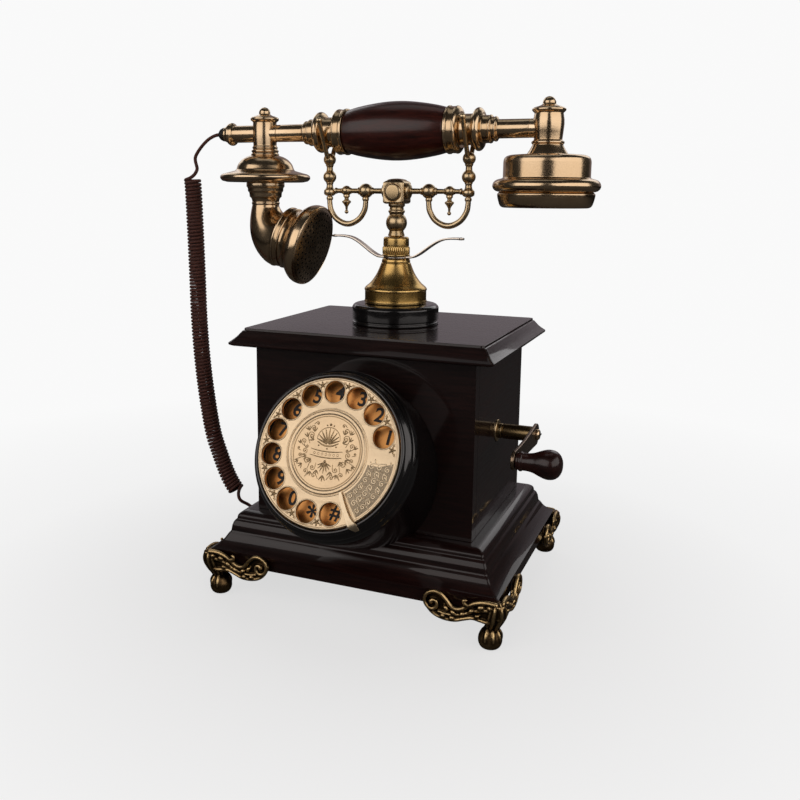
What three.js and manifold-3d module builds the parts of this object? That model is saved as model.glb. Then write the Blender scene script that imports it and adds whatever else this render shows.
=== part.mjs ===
// Retro desk telephone on scroll feet: lacquered wooden box with a slanted
// dial drum, brass cradle with a two-horned handset, side crank and curly cord.
// Millimetres, +X right, +Y back, +Z up. Built around the cradle post's axis
// and then shifted by ORIGIN_X/ORIGIN_Y so the origin is the bottom centre of
// the bounding box (the curly cord left out).
import * as THREE from 'three';
import { mergeVertices } from 'three/addons/utils/BufferGeometryUtils.js';
import Module from 'manifold-3d';

const wasm = await Module();
wasm.setup();

// ---------------------------------------------------------------- dimensions
const ORIGIN_X = 1.95;         // shift of the whole object, see top comment
const ORIGIN_Y = 20.05;
const GAP = 0.3;               // assembly gap between touching pieces
const FACETS = 0.60;           // share of the nominal facet count on round pieces

const BODY_W = 75.0;           // half width of the box (X)
const BODY_D = 59.5;           // half depth of the box (Y)
const PANEL_T = 8.0;           // wooden panel thickness
const BODY_Z0 = 55.8;          // underside of the panels
const BODY_Z1 = 168.6;         // top of the panels
const LID_Z = 180.1;           // top of the lid board
const PLINTH_Z0 = 22.5;        // underside of the plinth
// plinth moulding: [projection beyond the box, height]
const PLINTH = [[22.5, 22.5], [22.5, 30.3], [23.7, 30.5], [23.7, 32.2], [22.4, 33.0], [20.2, 34.4],
  [17.8, 36.6], [16.0, 39.2], [14.8, 41.4], [14.0, 42.2], [13.5, 46.2], [12.4, 49.0], [11.1, 50.3],
  [11.0, 51.4], [10.2, 52.8], [8.4, 54.4], [5.8, 55.4]];
// lid moulding: [projection beyond the box, height]
const LID = [[12.6, 168.9], [14.0, 169.7], [14.0, 171.0], [9.8, 175.0], [8.3, 176.6], [7.0, 178.4], [6.2, 178.7], [6.2, LID_Z]];

const DIAL_TILT = 24.0;        // the dial leans back by this angle
const DIAL_Y = -109.5;         // centre of the finger wheel's face
const DIAL_Z = 118.0;
const WHEEL_R = 44.8;
const HOLE_CIRCLE_R = 36.1;
const HOLE_R = 6.7;
const HOLE_FIRST = 20.5;       // angle of hole 1, degrees from +X
const HOLE_STEP = 23.95;
const STOP_ANGLE = -60.0;
const CAP_R = 25.0;
const DRUM_R = 52.5;

const CRANK_Y = -4.0;          // crank shaft axis
const CRANK_Z = 113.3;
const CRANK_R = 5.0;
const ARM_X = 99.2;            // inner face of the crank arm
const ARM_T = 2.2;
const KNOB_Y = -62.0;
const KNOB_Z = 112.2;

const POST_R = 29.5;           // black disc under the bell base
const ROD_R = 3.4;             // cradle plunger rod
const BORE_R = 4.0;            // guide bore of the rod
const ARM_Z = 269.0;           // axis of the cradle arms
const FORK_X = 49.6;           // fork uprights
const HS_Z = 308.2;            // handset axis
const MOUTH_X = -100.2;        // mouthpiece column
const EAR_X = 99.9;            // receiver column

const CORD_D = 13.0;           // outer diameter of the curly cord
const LEAD_D = 2.8;            // diameter of the cord itself
const COIL_PATH = [[-162.3, 0, 283.0], [-161.2, 0, 272.0], [-160.3, 0, 245.4], [-159.4, 0, 207.6], [-158.6, 0, 168.8],
  [-155.6, 0, 129.6], [-149.7, 0, 90.2], [-143.6, 0, 70.6], [-135.4, 0, 51.4], [-126.0, 0, 38.6], [-117.6, 0, 31.0]];
const LEAD_PATH = [[-137.6, 0, HS_Z], [-141.5, 0, 307.6], [-147.3, 0, 304.8], [-153.0, 0, 300.0], [-157.8, 0, 294.2], [-161.0, 0, 288.6], [-162.25, 0, 283.6]];

// ------------------------------------------------------------------- helpers
const rad = (d) => d * Math.PI / 180;

// one closed shell: shared vertices, no empty triangles, faces outward
function clean(geometry) {
  let g = geometry.clone();
  for (const name of Object.keys(g.attributes)) if (name !== 'position') g.deleteAttribute(name);
  g = mergeVertices(g, 1e-4);
  const p = g.attributes.position;
  const src = g.index.array;
  const out = [];
  let vol = 0;
  const a = new THREE.Vector3(), b = new THREE.Vector3(), c = new THREE.Vector3();
  for (let i = 0; i < src.length; i += 3) {
    const [i0, i1, i2] = [src[i], src[i + 1], src[i + 2]];
    if (i0 === i1 || i1 === i2 || i2 === i0) continue;
    out.push(i0, i1, i2);
    a.fromBufferAttribute(p, i0); b.fromBufferAttribute(p, i1); c.fromBufferAttribute(p, i2);
    vol += a.dot(b.cross(c));
  }
  if (vol < 0) for (let i = 0; i < out.length; i += 3) { const t = out[i + 1]; out[i + 1] = out[i + 2]; out[i + 2] = t; }
  g.setIndex(out);
  return g;
}

function toSolid(geometry) {
  const g = clean(geometry);
  return new wasm.Manifold(new wasm.Mesh({
    numProp: 3,
    vertProperties: new Float32Array(g.attributes.position.array),
    triVerts: new Uint32Array(g.index.array),
  }));
}

function fromSolid(solid) {
  const m = solid.getMesh();
  const g = new THREE.BufferGeometry();
  const v = new Float32Array(m.numVert * 3);
  for (let i = 0; i < m.numVert; i++) for (let k = 0; k < 3; k++) v[3 * i + k] = m.vertProperties[m.numProp * i + k];
  g.setAttribute('position', new THREE.BufferAttribute(v, 3));
  g.setIndex(Array.from(m.triVerts));
  return g;
}

const join = (...parts) => fromSolid(parts.map(toSolid).reduce((s, t) => s.add(t)));
const cut = (base, ...tools) => fromSolid(tools.map(toSolid).reduce((s, t) => s.subtract(t), toSolid(base)));
const common = (a, b) => fromSolid(toSolid(a).intersect(toSolid(b)));

// solid of revolution about Z, profile [[r, z], ...]
const lathe = (profile, seg = 24) =>
  new THREE.LatheGeometry(profile.map(([r, z]) => new THREE.Vector2(Math.max(r, 0), z)), Math.max(8, 2 * Math.round(seg * FACETS / 2))).rotateX(Math.PI / 2);
// ring: closed profile
const latheRing = (profile, seg = 24) => lathe([...profile, profile[0]], seg);
// the same about X: profile [[r, x], ...]
const latheX = (profile, seg = 24) => lathe(profile, seg).rotateY(Math.PI / 2);
const at = (g, x, y, z) => g.translate(x, y, z);
const box = (x0, x1, y0, y1, z0, z1) =>
  new THREE.BoxGeometry(x1 - x0, y1 - y0, z1 - z0).translate((x0 + x1) / 2, (y0 + y1) / 2, (z0 + z1) / 2);
const cylZ = (r, z0, z1, seg = 24) => lathe([[0, z0], [r, z0], [r, z1], [0, z1]], seg);
const cylX = (r, x0, x1, seg = 24) => latheX([[0, x0], [r, x0], [r, x1], [0, x1]], seg);

// flat outline in (a, b) extruded by depth along the third axis
function outline(points, depth) {
  const s = new THREE.Shape(points.map(([a, b]) => new THREE.Vector2(a, b)));
  return new THREE.ExtrudeGeometry(s, { depth, bevelEnabled: false, steps: 1 });
}
// outline in XZ, extruded along Y from y0 to y1
const prismY = (points, y0, y1) => outline(points, y1 - y0).rotateX(Math.PI / 2).translate(0, y1, 0);
// outline in YZ, extruded along X from x0 to x1
const prismX = (points, x0, x1) => {
  const g = outline(points, x1 - x0);                 // (a=y, b=z, depth)
  g.applyMatrix4(new THREE.Matrix4().set(0, 0, 1, x0, 1, 0, 0, 0, 0, 1, 0, 0, 0, 0, 0, 1));
  return g;
};

// round bar along a smooth curve
function bar(points, r, { sides = 8, steps = 12 } = {}) {
  const curve = new THREE.CatmullRomCurve3(points.map((p) => new THREE.Vector3(...p)), false, 'centripetal');
  const s = new THREE.Shape(Array.from({ length: sides }, (_, i) => {
    const a = 2 * Math.PI * i / sides;
    return new THREE.Vector2(r * Math.cos(a), r * Math.sin(a));
  }));
  return new THREE.ExtrudeGeometry(s, { steps, extrudePath: curve, bevelEnabled: false });
}

// loft through rings of equal point count, closed by end fans
function loft(rings) {
  const n = rings[0].length;
  const pos = [];
  const idx = [];
  rings.forEach((ring) => ring.forEach((p) => pos.push(...p)));
  for (let k = 0; k + 1 < rings.length; k++) for (let i = 0; i < n; i++) {
    const a = k * n + i, b = k * n + (i + 1) % n, c = a + n, d = b + n;
    idx.push(a, b, d, a, d, c);
  }
  for (const k of [0, rings.length - 1]) {
    const centre = [0, 1, 2].map((j) => rings[k].reduce((s, p) => s + p[j], 0) / n);
    const m = pos.length / 3;
    pos.push(...centre);
    for (let i = 0; i < n; i++) {
      const a = k * n + i, b = k * n + (i + 1) % n;
      if (k === 0) idx.push(m, b, a); else idx.push(m, a, b);
    }
  }
  const g = new THREE.BufferGeometry();
  g.setAttribute('position', new THREE.BufferAttribute(new Float32Array(pos), 3));
  g.setIndex(idx);
  return g;
}
// circle of radius r about c in the plane whose in-plane axes are u and v
const ringAt = (c, u, v, r, n = 20, ru = 1) => Array.from({ length: n }, (_, i) => {
  const a = 2 * Math.PI * i / n;
  return [0, 1, 2].map((k) => c[k] + r * (ru * Math.cos(a) * u[k] + Math.sin(a) * v[k]));
});

const ball = (r, z, n = 6, from = -90, to = 90) => Array.from({ length: n + 1 }, (_, i) => {
  const a = rad(from + (to - from) * i / n);
  return [r * Math.cos(a), z + r * Math.sin(a)];
});

// ----------------------------------------------------------------- materials
const material = (color, roughness, metalness) => new THREE.MeshStandardMaterial({ color, roughness, metalness });
const WOOD = material(0x1b0c0a, 0.22, 0.0);
const WOOD_RED = material(0x3a120c, 0.2, 0.0);
const BRASS = material(0x8a6a42, 0.3, 1.0);
const GOLD = material(0xb8862b, 0.28, 1.0);
const PALE = material(0xd9bc8a, 0.35, 1.0);
const COPPER = material(0xb5622a, 0.4, 0.6);
const BLACK = material(0x0b0b0c, 0.2, 0.0);
const STEEL = material(0xb9a79a, 0.3, 1.0);
const RUBBER = material(0x141414, 0.6, 0.0);
const FABRIC = material(0x3b1a12, 0.8, 0.0);
const BOARD = material(0x1f5a3a, 0.5, 0.1);

const model = new THREE.Group();
const frame = new THREE.Group();
frame.position.set(ORIGIN_X, ORIGIN_Y, 0);
model.add(frame);
function add(name, geometry, mat, parent = frame) {
  const m = new THREE.Mesh(clean(geometry), mat);
  m.name = name;
  parent.add(m);
  return m;
}

// ------------------------------------------------------------------ the box
{
  const { right, deep } = {
    right: [...LID.map(([e, z]) => [BODY_W + e, z]), ...LID.slice().reverse().map(([e, z]) => [-BODY_W - e, z])],
    deep: [...LID.map(([e, z]) => [BODY_D + e, z]), ...LID.slice().reverse().map(([e, z]) => [-BODY_D - e, z])],
  };
  const lid = common(prismY(right, -90, 90), prismX(deep, -110, 110));
  add('lid_board', cut(lid, cylZ(BORE_R + 0.6, 160, 190, 16)), WOOD);
}
{
  const drumHole = cylZ(26, -40, 60, 20).rotateX(Math.PI / 2 + Math.PI).translate(0, -BODY_D, 96);
  add('front_panel', cut(box(-BODY_W, BODY_W, -BODY_D, -BODY_D + PANEL_T, BODY_Z0, BODY_Z1), drumHole), WOOD);
  add('back_panel', box(-BODY_W, BODY_W, BODY_D - PANEL_T, BODY_D, BODY_Z0, BODY_Z1), WOOD);
  const yi = BODY_D - PANEL_T - GAP;
  add('left_panel', box(-BODY_W, -BODY_W + PANEL_T, -yi, yi, BODY_Z0, BODY_Z1), WOOD);
  add('right_panel', cut(box(BODY_W - PANEL_T, BODY_W, -yi, yi, BODY_Z0, BODY_Z1),
    cylX(7.8, BODY_W - 20, BODY_W + 10, 20).translate(0, CRANK_Y, CRANK_Z)), WOOD);
}
// mitred plinth mouldings
{
  const IN = -10;               // inner face, behind the panels
  const profile = [[IN, PLINTH_Z0], ...PLINTH, [IN, 55.4]];
  // run along X or Y, each end cut at 45 degrees
  const rail = (half, other) => {
    const g = outline(profile, 1);                 // a = e, b = z, depth 0..1
    const p = g.attributes.position;
    for (let i = 0; i < p.count; i++) {
      const e = p.getX(i), z = p.getY(i), s = p.getZ(i) < 0.5 ? -1 : 1;
      p.setXYZ(i, s * (half + e - GAP * 0.5), -(other + e), z);
    }
    return g;
  };
  add('plinth_front', rail(BODY_W, BODY_D), WOOD);
  add('plinth_back', rail(BODY_W, BODY_D).rotateZ(Math.PI), WOOD);
  add('plinth_right', rail(BODY_D, BODY_W).rotateZ(Math.PI / 2), WOOD);
  add('plinth_left', cut(rail(BODY_D, BODY_W).rotateZ(-Math.PI / 2),
    box(-BODY_W - 30, -BODY_W - 10, -6.4, 6.4, 10, 34.2)), WOOD);
  const bx = BODY_W + IN - GAP, by = BODY_D + IN - GAP;
  add('bottom_plate', box(-bx, bx, -by, by, 24.0, 27.5), WOOD);
}
// handset jack in the left moulding
add('handset_jack', cut(box(-BODY_W - 23.2, -BODY_W - 10.3, -6.1, 6.1, 22.9, 33.9), box(-BODY_W - 30, -BODY_W - 13, -4, 4, 25.0, 31.4)), RUBBER);
// line jack low in the back panel
add('line_jack', cut(box(-9, 9, BODY_D + GAP, BODY_D + 9, 62, 77), box(-5.6, 5.6, BODY_D + 2.4, BODY_D + 12, 65, 73)), RUBBER);

// ----------------------------------------------------------------- the feet
{
  // local frame: u outward in X, v outward in Y (front), corner of the fascia at 0,0
  const wing = [[-2, 31.5], [8, 31.2], [14, 30.6], [20, 27.2], [26, 23.8], [31, 24.2], [33.6, 28.2], [36.4, 32.2], [41, 33.7], [45.4, 31.6],
    [47.2, 27.2], [45.6, 22.0], [41.5, 18.0], [35, 15.9], [28, 15.4], [22, 17.6], [16, 19.6], [11, 18.4], [7, 15.0], [-2, 15.0]];
  const sect = (z, c, r) => ringAt([c, c * 0.9, z], [1, 0, 0], [0, 1, 0], r, 10);
  const leg = loft([sect(5, -3.4, 4.2), sect(10, -3.2, 4.6), sect(13, -2.4, 4.2), sect(17, -0.4, 4.8), sect(22, 2.0, 5.6), sect(27, 3.4, 5.2), sect(30.5, 3.2, 4.0), sect(32, 2.9, 2.2)]);
  const knob = lathe(ball(7.5, 7.0, 6), 15).translate(-3.8, -2.9, 0);
  const front = prismY(wing.map(([s, z]) => [-s + 3.5, z]), 1.6, 5.4);
  const side = prismX(wing.map(([s, z]) => [-s + 3.5, z]), 1.6, 5.4);
  const plinth = box(-80, 0.35, -80, 0.35, 22.2, 40);
  const fillet = box(-80, 1.55, -80, 1.55, 30.1, 32.6);
  const floor = box(-40, 40, -40, 40, -20, 0);
  const foot = cut(join(knob, leg, front, side), plinth, fillet, floor);
  const cx = BODY_W + 22.5, cy = BODY_D + 22.5;
  const place = (sx, sy) => foot.clone().applyMatrix4(new THREE.Matrix4().makeScale(sx, sy, 1)).translate(sx * cx, sy * cy, 0);
  add('foot_front_left', place(-1, -1), BRASS);
  add('foot_front_right', place(1, -1), BRASS);
  add('foot_back_left', place(-1, 1), BRASS);
  add('foot_back_right', place(1, 1), BRASS);
}

// ------------------------------------------------------- post on top of lid
add('post_disc', latheRing([[BORE_R + 0.6, 180.4], [POST_R, 180.4], [POST_R, 182.0], [POST_R - 0.7, 182.8], [POST_R, 183.6], [POST_R, 191.6], [POST_R - 1.8, 193.4],
  [POST_R - 4.5, 193.9], [BORE_R + 0.6, 193.9]], 32), BLACK);
add('bell_base', latheRing([[8.2, 194.2], [21.2, 194.2], [21.2, 203.8], [20.6, 204.8], [19.6, 205.6], [16.0, 209.6], [12.8, 213.6], [10.6, 218.2], [9.5, 221.6],
  [9.7, 222.4], [9.4, 223.4], [8.8, 224.3], [BORE_R, 224.3], [BORE_R, 222.6], [8.2, 222.6]], 28), GOLD);
{
  // one bent strip clamped under the collar, with a ring round the rod
  const path = [[0, 225.1], [10, 225.1], [13, 225.6], [17.5, 228.0], [22.5, 231.6], [27.5, 235.0], [32, 237.2], [36.5, 238.2], [42, 238.5], [48.5, 238.3]];
  const t = 0.5;
  const normal = (i) => {
    const a = path[Math.max(i - 1, 0)], b = path[Math.min(i + 1, path.length - 1)];
    const dx = b[0] - a[0], dz = b[1] - a[1], l = Math.hypot(dx, dz);
    return [-dz / l, dx / l];
  };
  const up = path.map(([x, z], i) => [x + t * normal(i)[0], z + t * normal(i)[1]]);
  const dn = path.map(([x, z], i) => [x - t * normal(i)[0], z - t * normal(i)[1]]);
  const half = [...dn, ...up.slice().reverse()];
  const right = prismY(half, -3, 3);
  const left = prismY(half, -3, 3).applyMatrix4(new THREE.Matrix4().makeScale(-1, 1, 1));
  add('leaf_strip', cut(join(right, left, cylZ(8.8, 224.6, 225.6, 20)), cylZ(BORE_R, 220, 230, 16)), STEEL);
}
add('knurled_collar', latheRing([[BORE_R, 225.9], [9.4, 225.9], [9.4, 226.9], [9.0, 227.2], [9.0, 231.8], [8.7, 232.2], [8.6, 237.6], [8.0, 238.6], [BORE_R, 238.6]], 24), GOLD);

// --------------------------------------------------------------- the cradle
add('cradle_post', lathe([[0, 164.5], [3.0, 164.5], [ROD_R, 165.2], [ROD_R, 215.2], [6.6, 215.2], [6.6, 217.2], [ROD_R, 217.2], [ROD_R, 238.9], [5.4, 239.0], [5.7, 239.8], [5.2, 241.0],
  ...ball(7.1, 248.1, 4, -50, 50), [5.0, 254.6], [5.6, 255.6], [5.0, 256.6], [4.8, 258.4], [5.6, 259.2], [5.6, 260.3], [0, 260.3]], 20), BRASS);
{
  // open helical spring under the rod's flange
  const turns = 5, z0 = 195.2, z1 = 214.0, r = 5.6;
  class Helix extends THREE.Curve {
    getPoint(t, target = new THREE.Vector3()) {
      const a = 2 * Math.PI * turns * t;
      return target.set(r * Math.cos(a), r * Math.sin(a), z0 + (z1 - z0) * t);
    }
  }
  const s = new THREE.Shape(Array.from({ length: 5 }, (_, i) => new THREE.Vector2(0.6 * Math.cos(i * Math.PI * 0.4), 0.6 * Math.sin(i * Math.PI * 0.4))));
  add('hook_spring', new THREE.ExtrudeGeometry(s, { steps: 40, extrudePath: new Helix(), bevelEnabled: false }), STEEL);
}
{
  const half = 7.5, c = 1.2, zc = 268.1;
  const sq = (h, z) => [[-h, -h + c], [-h + c, -h], [h - c, -h], [h, -h + c], [h, h - c], [h - c, h], [-h + c, h], [-h, h - c]].map(([x, y]) => [x, y, z]);
  const cube = loft([sq(half - 1.2, zc - 7.5), sq(half, zc - 6.4), sq(half, zc + 6.4), sq(half - 1.2, zc + 7.5), sq(half - 3.6, zc + 9.0)]);
  const boss = lathe([[0, -8.9], [4.6, -8.9], [5.9, -8.1], [5.9, 8.1], [4.6, 8.9], [0, 8.9]], 20).rotateX(Math.PI / 2).translate(0, 0, zc);
  add('cradle_head', join(cube, boss), BRASS);
}
const armProfile = [[0, 7.8], [5.2, 7.8], [5.2, 9.0], [3.6, 10.0], [1.9, 10.8], [1.8, 17.2], [2.8, 17.6], [2.8, 18.6], ...ball(4.1, 22.6, 4, -60, 60), [2.8, 26.6], [2.8, 27.6],
  [1.7, 28.2], [1.6, 33.2], ...ball(3.2, 36.9, 4, -56, 56), [1.6, 40.4], [1.6, 43.8], [2.0, 45.2], [0, 45.2]];
const pendant = lathe([[0, -15.4], ...ball(1.3, -14.2, 4, -80, 60), [0.8, -12.6], [1.0, -10.6], [2.2, -8.6], [2.9, -7.6], [2.9, -6.6], [1.5, -6.0], [1.5, -4.6], [2.2, -3.6], [1.8, -2.2], [0, -2.2]], 12);
const scroll = (s) => bar([[s * 49.6, 0, 265.1], [s * 49.6, 0, 261], [s * 48.7, 0, 256], [s * 45.2, 0, 250.6], [s * 40.4, 0, 247.4], [s * 36.1, 0, 246.6], [s * 31.8, 0, 247.4],
  [s * 27.0, 0, 250.6], [s * 23.6, 0, 256], [s * 22.7, 0, 260.2], [s * 22.6, 0, 264.4]], 1.6, { sides: 6, steps: 16 });
for (const [side, s] of [['left', -1], ['right', 1]]) {
  const arm = join(latheX(armProfile, 14), pendant.clone().translate(36.9, 0, 0));
  add(`cradle_arm_${side}`, arm.applyMatrix4(new THREE.Matrix4().makeScale(s, 1, 1)).translate(0, 0, ARM_Z), BRASS);
  add(`scroll_${side}`, scroll(s), BRASS);
  const post = lathe([[0, 265.6], [2.6, 265.6], [4.0, 266.8], [4.0, 269.6], [2.8, 270.8], [2.2, 272.2], [2.2, 274.2], ...ball(4.1, 278.3, 4, -60, 60), [2.2, 282.2], [2.1, 285.4],
    ...ball(4.2, 290.0, 5, -60, 90)], 14).translate(s * FORK_X, 0, 0);
  const prong = (f) => bar([[0, f * 2.6, 290.8], [0, f * 5.6, 294.6], [0, f * 10.2, 302.4], [0, f * 14.0, 309.0], [0, f * 17.2, 314.6]].map(([x, y, z]) => [s * FORK_X + x, y, z]), 1.5, { sides: 6, steps: 5 });
  const tip = (f) => lathe(ball(2.1, 0, 4), 10).translate(s * FORK_X, f * 17.4, 315.0);
  add(`fork_${side}`, join(post, prong(1), prong(-1), tip(1), tip(-1)), BRASS);
}

// --------------------------------------------------------------- the handset
const hs = new THREE.Group();
hs.position.set(0, 0, HS_Z);
frame.add(hs);
add('handset_grip', latheX([[0, -35.1], [14.1, -35.1], [14.6, -34.3], [16.0, -28], [17.6, -19], [18.8, -9], [19.2, 0], [18.8, 9], [17.6, 19], [16.0, 28], [14.6, 34.3], [14.1, 35.1], [0, 35.1]], 28), WOOD_RED, hs);
const ferrule = [[0, 35.4], [15.2, 35.4], [15.4, 36.6], [15.0, 37.4], [15.1, 41.4], [14.2, 43.0], [11.6, 44.0], [0, 44.0]];
const stem = [[0, 44.3], [9.4, 44.3], [9.9, 45.2], [9.9, 52.2], [10.4, 53.0], [12.4, 53.4], [13.4, 54.4], [13.7, 55.8], [13.2, 57.2], [11.4, 58.4], [9.0, 58.8], [8.7, 59.4], [8.7, 63.4],
  [8.2, 64.2], [7.6, 64.6], [7.6, 67.0], [7.0, 67.8], [6.1, 68.2], [5.9, 88.6], [0, 88.6]];
for (const [side, s] of [['left', -1], ['right', 1]]) {
  const mirror = new THREE.Matrix4().makeScale(s, 1, 1);
  add(`ferrule_${side}`, latheX(ferrule, 24).applyMatrix4(mirror), BRASS, hs);
  add(`handset_tube_${side}`, latheX(stem, 20).applyMatrix4(mirror), BRASS, hs);
}
// mouthpiece column with the cross tube that carries the cord gland
{
  const column = lathe([[0, -14.5], [9.4, -14.5], [9.6, -13.2], [8.9, -12.4], [9.5, -11.4], [8.4, -9.2], [8.5, 7.9], [9.7, 9.2], [9.7, 10.6],
    [5.0, 12.3], [3.8, 13.2], ...ball(4.0, 14.0, 3, 0, 90)], 22).translate(MOUTH_X, 0, 0);
  const cross = latheX([[0, -132.2], [5.0, -132.2], [5.4, -130.4], [7.8, -128.0], [7.8, -125.4], [6.2, -124.2], [5.9, -123.6], [5.9, -89.0], [0, -89.0]], 18);
  add('mouthpiece_column', join(column, cross), BRASS, hs);
}
add('mouthpiece_saucer', lathe([[0, -33.5], [27.4, -33.5], [30.6, -32.4], [31.8, -30.6], [31.6, -29.0], [29.4, -27.6], [24.4, -26.0], [20.6, -24.7], [19.8, -23.4], [18.2, -20.4], [15.2, -17.6],
  [11.6, -15.6], [9.8, -14.9], [0, -14.9]], 30).translate(MOUTH_X, 0, 0), BRASS, hs);
// horn: inverted cone, elbow towards +X and bell, with a recess for the grille
const MOUTH_TILT = 15.2;                      // the mouth looks down by this much
const MOUTH_C = [-62.0, 0, 230.4 - HS_Z];     // centre of the rim plane
{
  const n = [Math.cos(rad(MOUTH_TILT)), 0, -Math.sin(rad(MOUTH_TILT))];
  const up = [Math.sin(rad(MOUTH_TILT)), 0, Math.cos(rad(MOUTH_TILT))];
  const Y = [0, 1, 0];
  const dirRing = (c, tiltDeg, r) => {
    // ring whose normal points down (tilt 90) turning to +X (tilt 0)
    const t = rad(tiltDeg);
    return ringAt(c, Y, [Math.sin(t), 0, Math.cos(t)], r, 18);
  };
  const z = (v) => v - HS_Z;
  const rim = (d, r) => ringAt([MOUTH_C[0] + n[0] * d, 0, MOUTH_C[2] + n[2] * d], Y, up, r, 18);
  const body = loft([
    dirRing([MOUTH_X, 0, z(274.4)], 90, 13.3), dirRing([MOUTH_X, 0, z(271.0)], 90, 13.3), dirRing([MOUTH_X, 0, z(270.4)], 90, 12.2), dirRing([MOUTH_X, 0, z(264.6)], 90, 10.6),
    dirRing([MOUTH_X, 0, z(260.6)], 90, 9.0), dirRing([MOUTH_X, 0, z(259.4)], 90, 9.4), dirRing([MOUTH_X - 0.3, 0, z(257.6)], 86, 9.9),
    dirRing([-100.2, 0, z(251.2)], 74, 11.8), dirRing([-98.6, 0, z(245.2)], 58, 14.2), dirRing([-95.4, 0, z(240.0)], 42, 16.6), dirRing([-91.2, 0, z(236.4)], 28, 18.8),
    dirRing([-86.6, 0, z(234.4)], 16, 20.4),
    rim(-23.4, 21.4), rim(-19.2, 21.4), rim(-18.6, 20.6), rim(-14.0, 22.6), rim(-10.4, 25.6), rim(-7.6, 27.6), rim(-4.6, 28.4), rim(-2.0, 28.2), rim(-0.4, 27.2), rim(0, 26.4)]);
  const recess = loft([ringAt([MOUTH_C[0] - n[0] * 3, 0, MOUTH_C[2] - n[2] * 3], Y, up, 25.6, 18), ringAt([MOUTH_C[0] + n[0] * 5, 0, MOUTH_C[2] + n[2] * 5], Y, up, 25.6, 18)]);
  add('mouthpiece_horn', cut(body, recess), BRASS, hs);
  const grille = lathe([[0, -2.7], [25.2, -2.7], [25.2, 0.2], [22, 1.3], [16, 2.4], [8, 3.1], [0, 3.3]], 24).rotateY(Math.PI / 2);
  // +Z of the lathe to +X, then tip down
  grille.rotateY(rad(MOUTH_TILT)).translate(...MOUTH_C);
  add('mouthpiece_grille', grille, BRASS, hs);
}
add('receiver_column', join(lathe([[0, -15.9], [12.5, -15.9], [11.0, -13.6], [9.6, -11.2], [9.2, -10.0], [10.0, -9.4], [10.0, -8.0], [8.7, -7.2], [9.5, 2], [9.0, 8.8], [10.3, 10.0],
  [10.3, 11.6], [5.2, 13.8], [3.9, 14.6], ...ball(4.1, 14.5, 3, 10, 90)], 22).translate(EAR_X, 0, 0), cylX(5.9, 88.9, 99, 18)), BRASS, hs);
add('receiver_cup', lathe([[0, -39.2], [30.2, -39.2], [32.6, -37.8], [33.4, -35.6], [32.9, -33.2], [31.0, -31.6], [28.0, -30.9], [27.0, -30.4], [27.0, -20.4], [26.2, -18.4], [24.2, -17.0], [20.4, -16.3],
  [0, -16.2]], 32).translate(EAR_X, 0, 0), BRASS, hs);
add('receiver_cap', lathe([[0, -45.8], [8, -45.9], [20, -47.6], [24, -48.9], [26.4, -49.0], [28.2, -48.2], [29.4, -45.6], [30.0, -42.6], [30.1, -39.5], [0, -39.5]], 32).translate(EAR_X, 0, 0), BRASS, hs);
add('cord_gland', latheX([[0, -137.2], [2.6, -137.2], [3.8, -136.4], [4.7, -134.6], [4.7, -132.5], [0, -132.5]], 16), RUBBER, hs);

// ------------------------------------------------------------------ the dial
const dial = new THREE.Group();
dial.position.set(0, DIAL_Y, DIAL_Z);
dial.rotation.x = rad(90 - DIAL_TILT);        // +Z of the group looks out of the dial
frame.add(dial);
const toWorld = new THREE.Matrix4().compose(new THREE.Vector3(0, DIAL_Y, DIAL_Z), new THREE.Quaternion().setFromAxisAngle(new THREE.Vector3(1, 0, 0), rad(90 - DIAL_TILT)), new THREE.Vector3(1, 1, 1));
{
  const drum = latheRing([[45.5, -0.9], [46.2, -0.6], [47.0, -0.7], [47.6, -1.5], [47.8, -2.8], [49.2, -4.4], [50.4, -6.4], [50.6, -8.2], [51.6, -9.4], [52.3, -11.4], [DRUM_R, -14], [DRUM_R, -90],
    [49.2, -90], [49.2, -16], [41, -12.0], [41, -9.2], [45.5, -9.2]], 36).applyMatrix4(toWorld);
  const behind = box(-80, 80, -BODY_D - GAP, 60, -40, 260);
  const over = prismX([[40, 0], ...PLINTH.map(([e, z]) => [-(BODY_D + e + 0.35), z + 0.35]), [-(BODY_D + 5.8), 55.75], [40, 55.75]], -80, 80);
  add('dial_housing', cut(drum, behind, over), BLACK);
}
add('number_plate', latheRing([[6.6, -8.9], [45.0, -8.9], [45.0, -7.7], [6.6, -7.7]], 32), COPPER, dial);
{
  const wheel = lathe([[0, -11.2], [6.0, -11.2], [6.0, -3.0], [44.2, -3.0], [WHEEL_R, -2.4], [WHEEL_R, -0.8], [44.2, 0], [CAP_R + 0.4, 0], [CAP_R + 0.4, -1.2], [0, -1.2]], 36);
  const holes = Array.from({ length: 12 }, (_, i) => {
    const a = rad(HOLE_FIRST + HOLE_STEP * i);
    return cylZ(HOLE_R, -6, 3, 14).translate(HOLE_CIRCLE_R * Math.cos(a), HOLE_CIRCLE_R * Math.sin(a), 0);
  });
  add('finger_wheel', cut(wheel, ...holes), PALE, dial);
  add('dial_cap', lathe([[0, -0.9], [CAP_R, -0.9], [CAP_R, 0.3], [24.3, 0.7], [22.8, 0.7], [22.3, 0.3], [0, 0.3]], 32), PALE, dial);
}
{
  // strip over the wheel, bent down onto the housing ring
  const side = [[25.8, 1.3], [46.6, 1.3], [47.9, -0.6], [48.6, -3.1], [50.2, -5.0], [51.2, -5.0], [50.0, -1.4], [48.6, 1.6], [47.0, 2.4], [25.8, 2.4]];
  const g = prismY(side, -1.6, 1.6);
  const p = g.attributes.position;
  for (let i = 0; i < p.count; i++) if (p.getX(i) > 40) p.setY(i, p.getY(i) * 1.9);
  add('finger_stop', g.rotateZ(rad(STOP_ANGLE)), PALE, dial);
}
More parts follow.
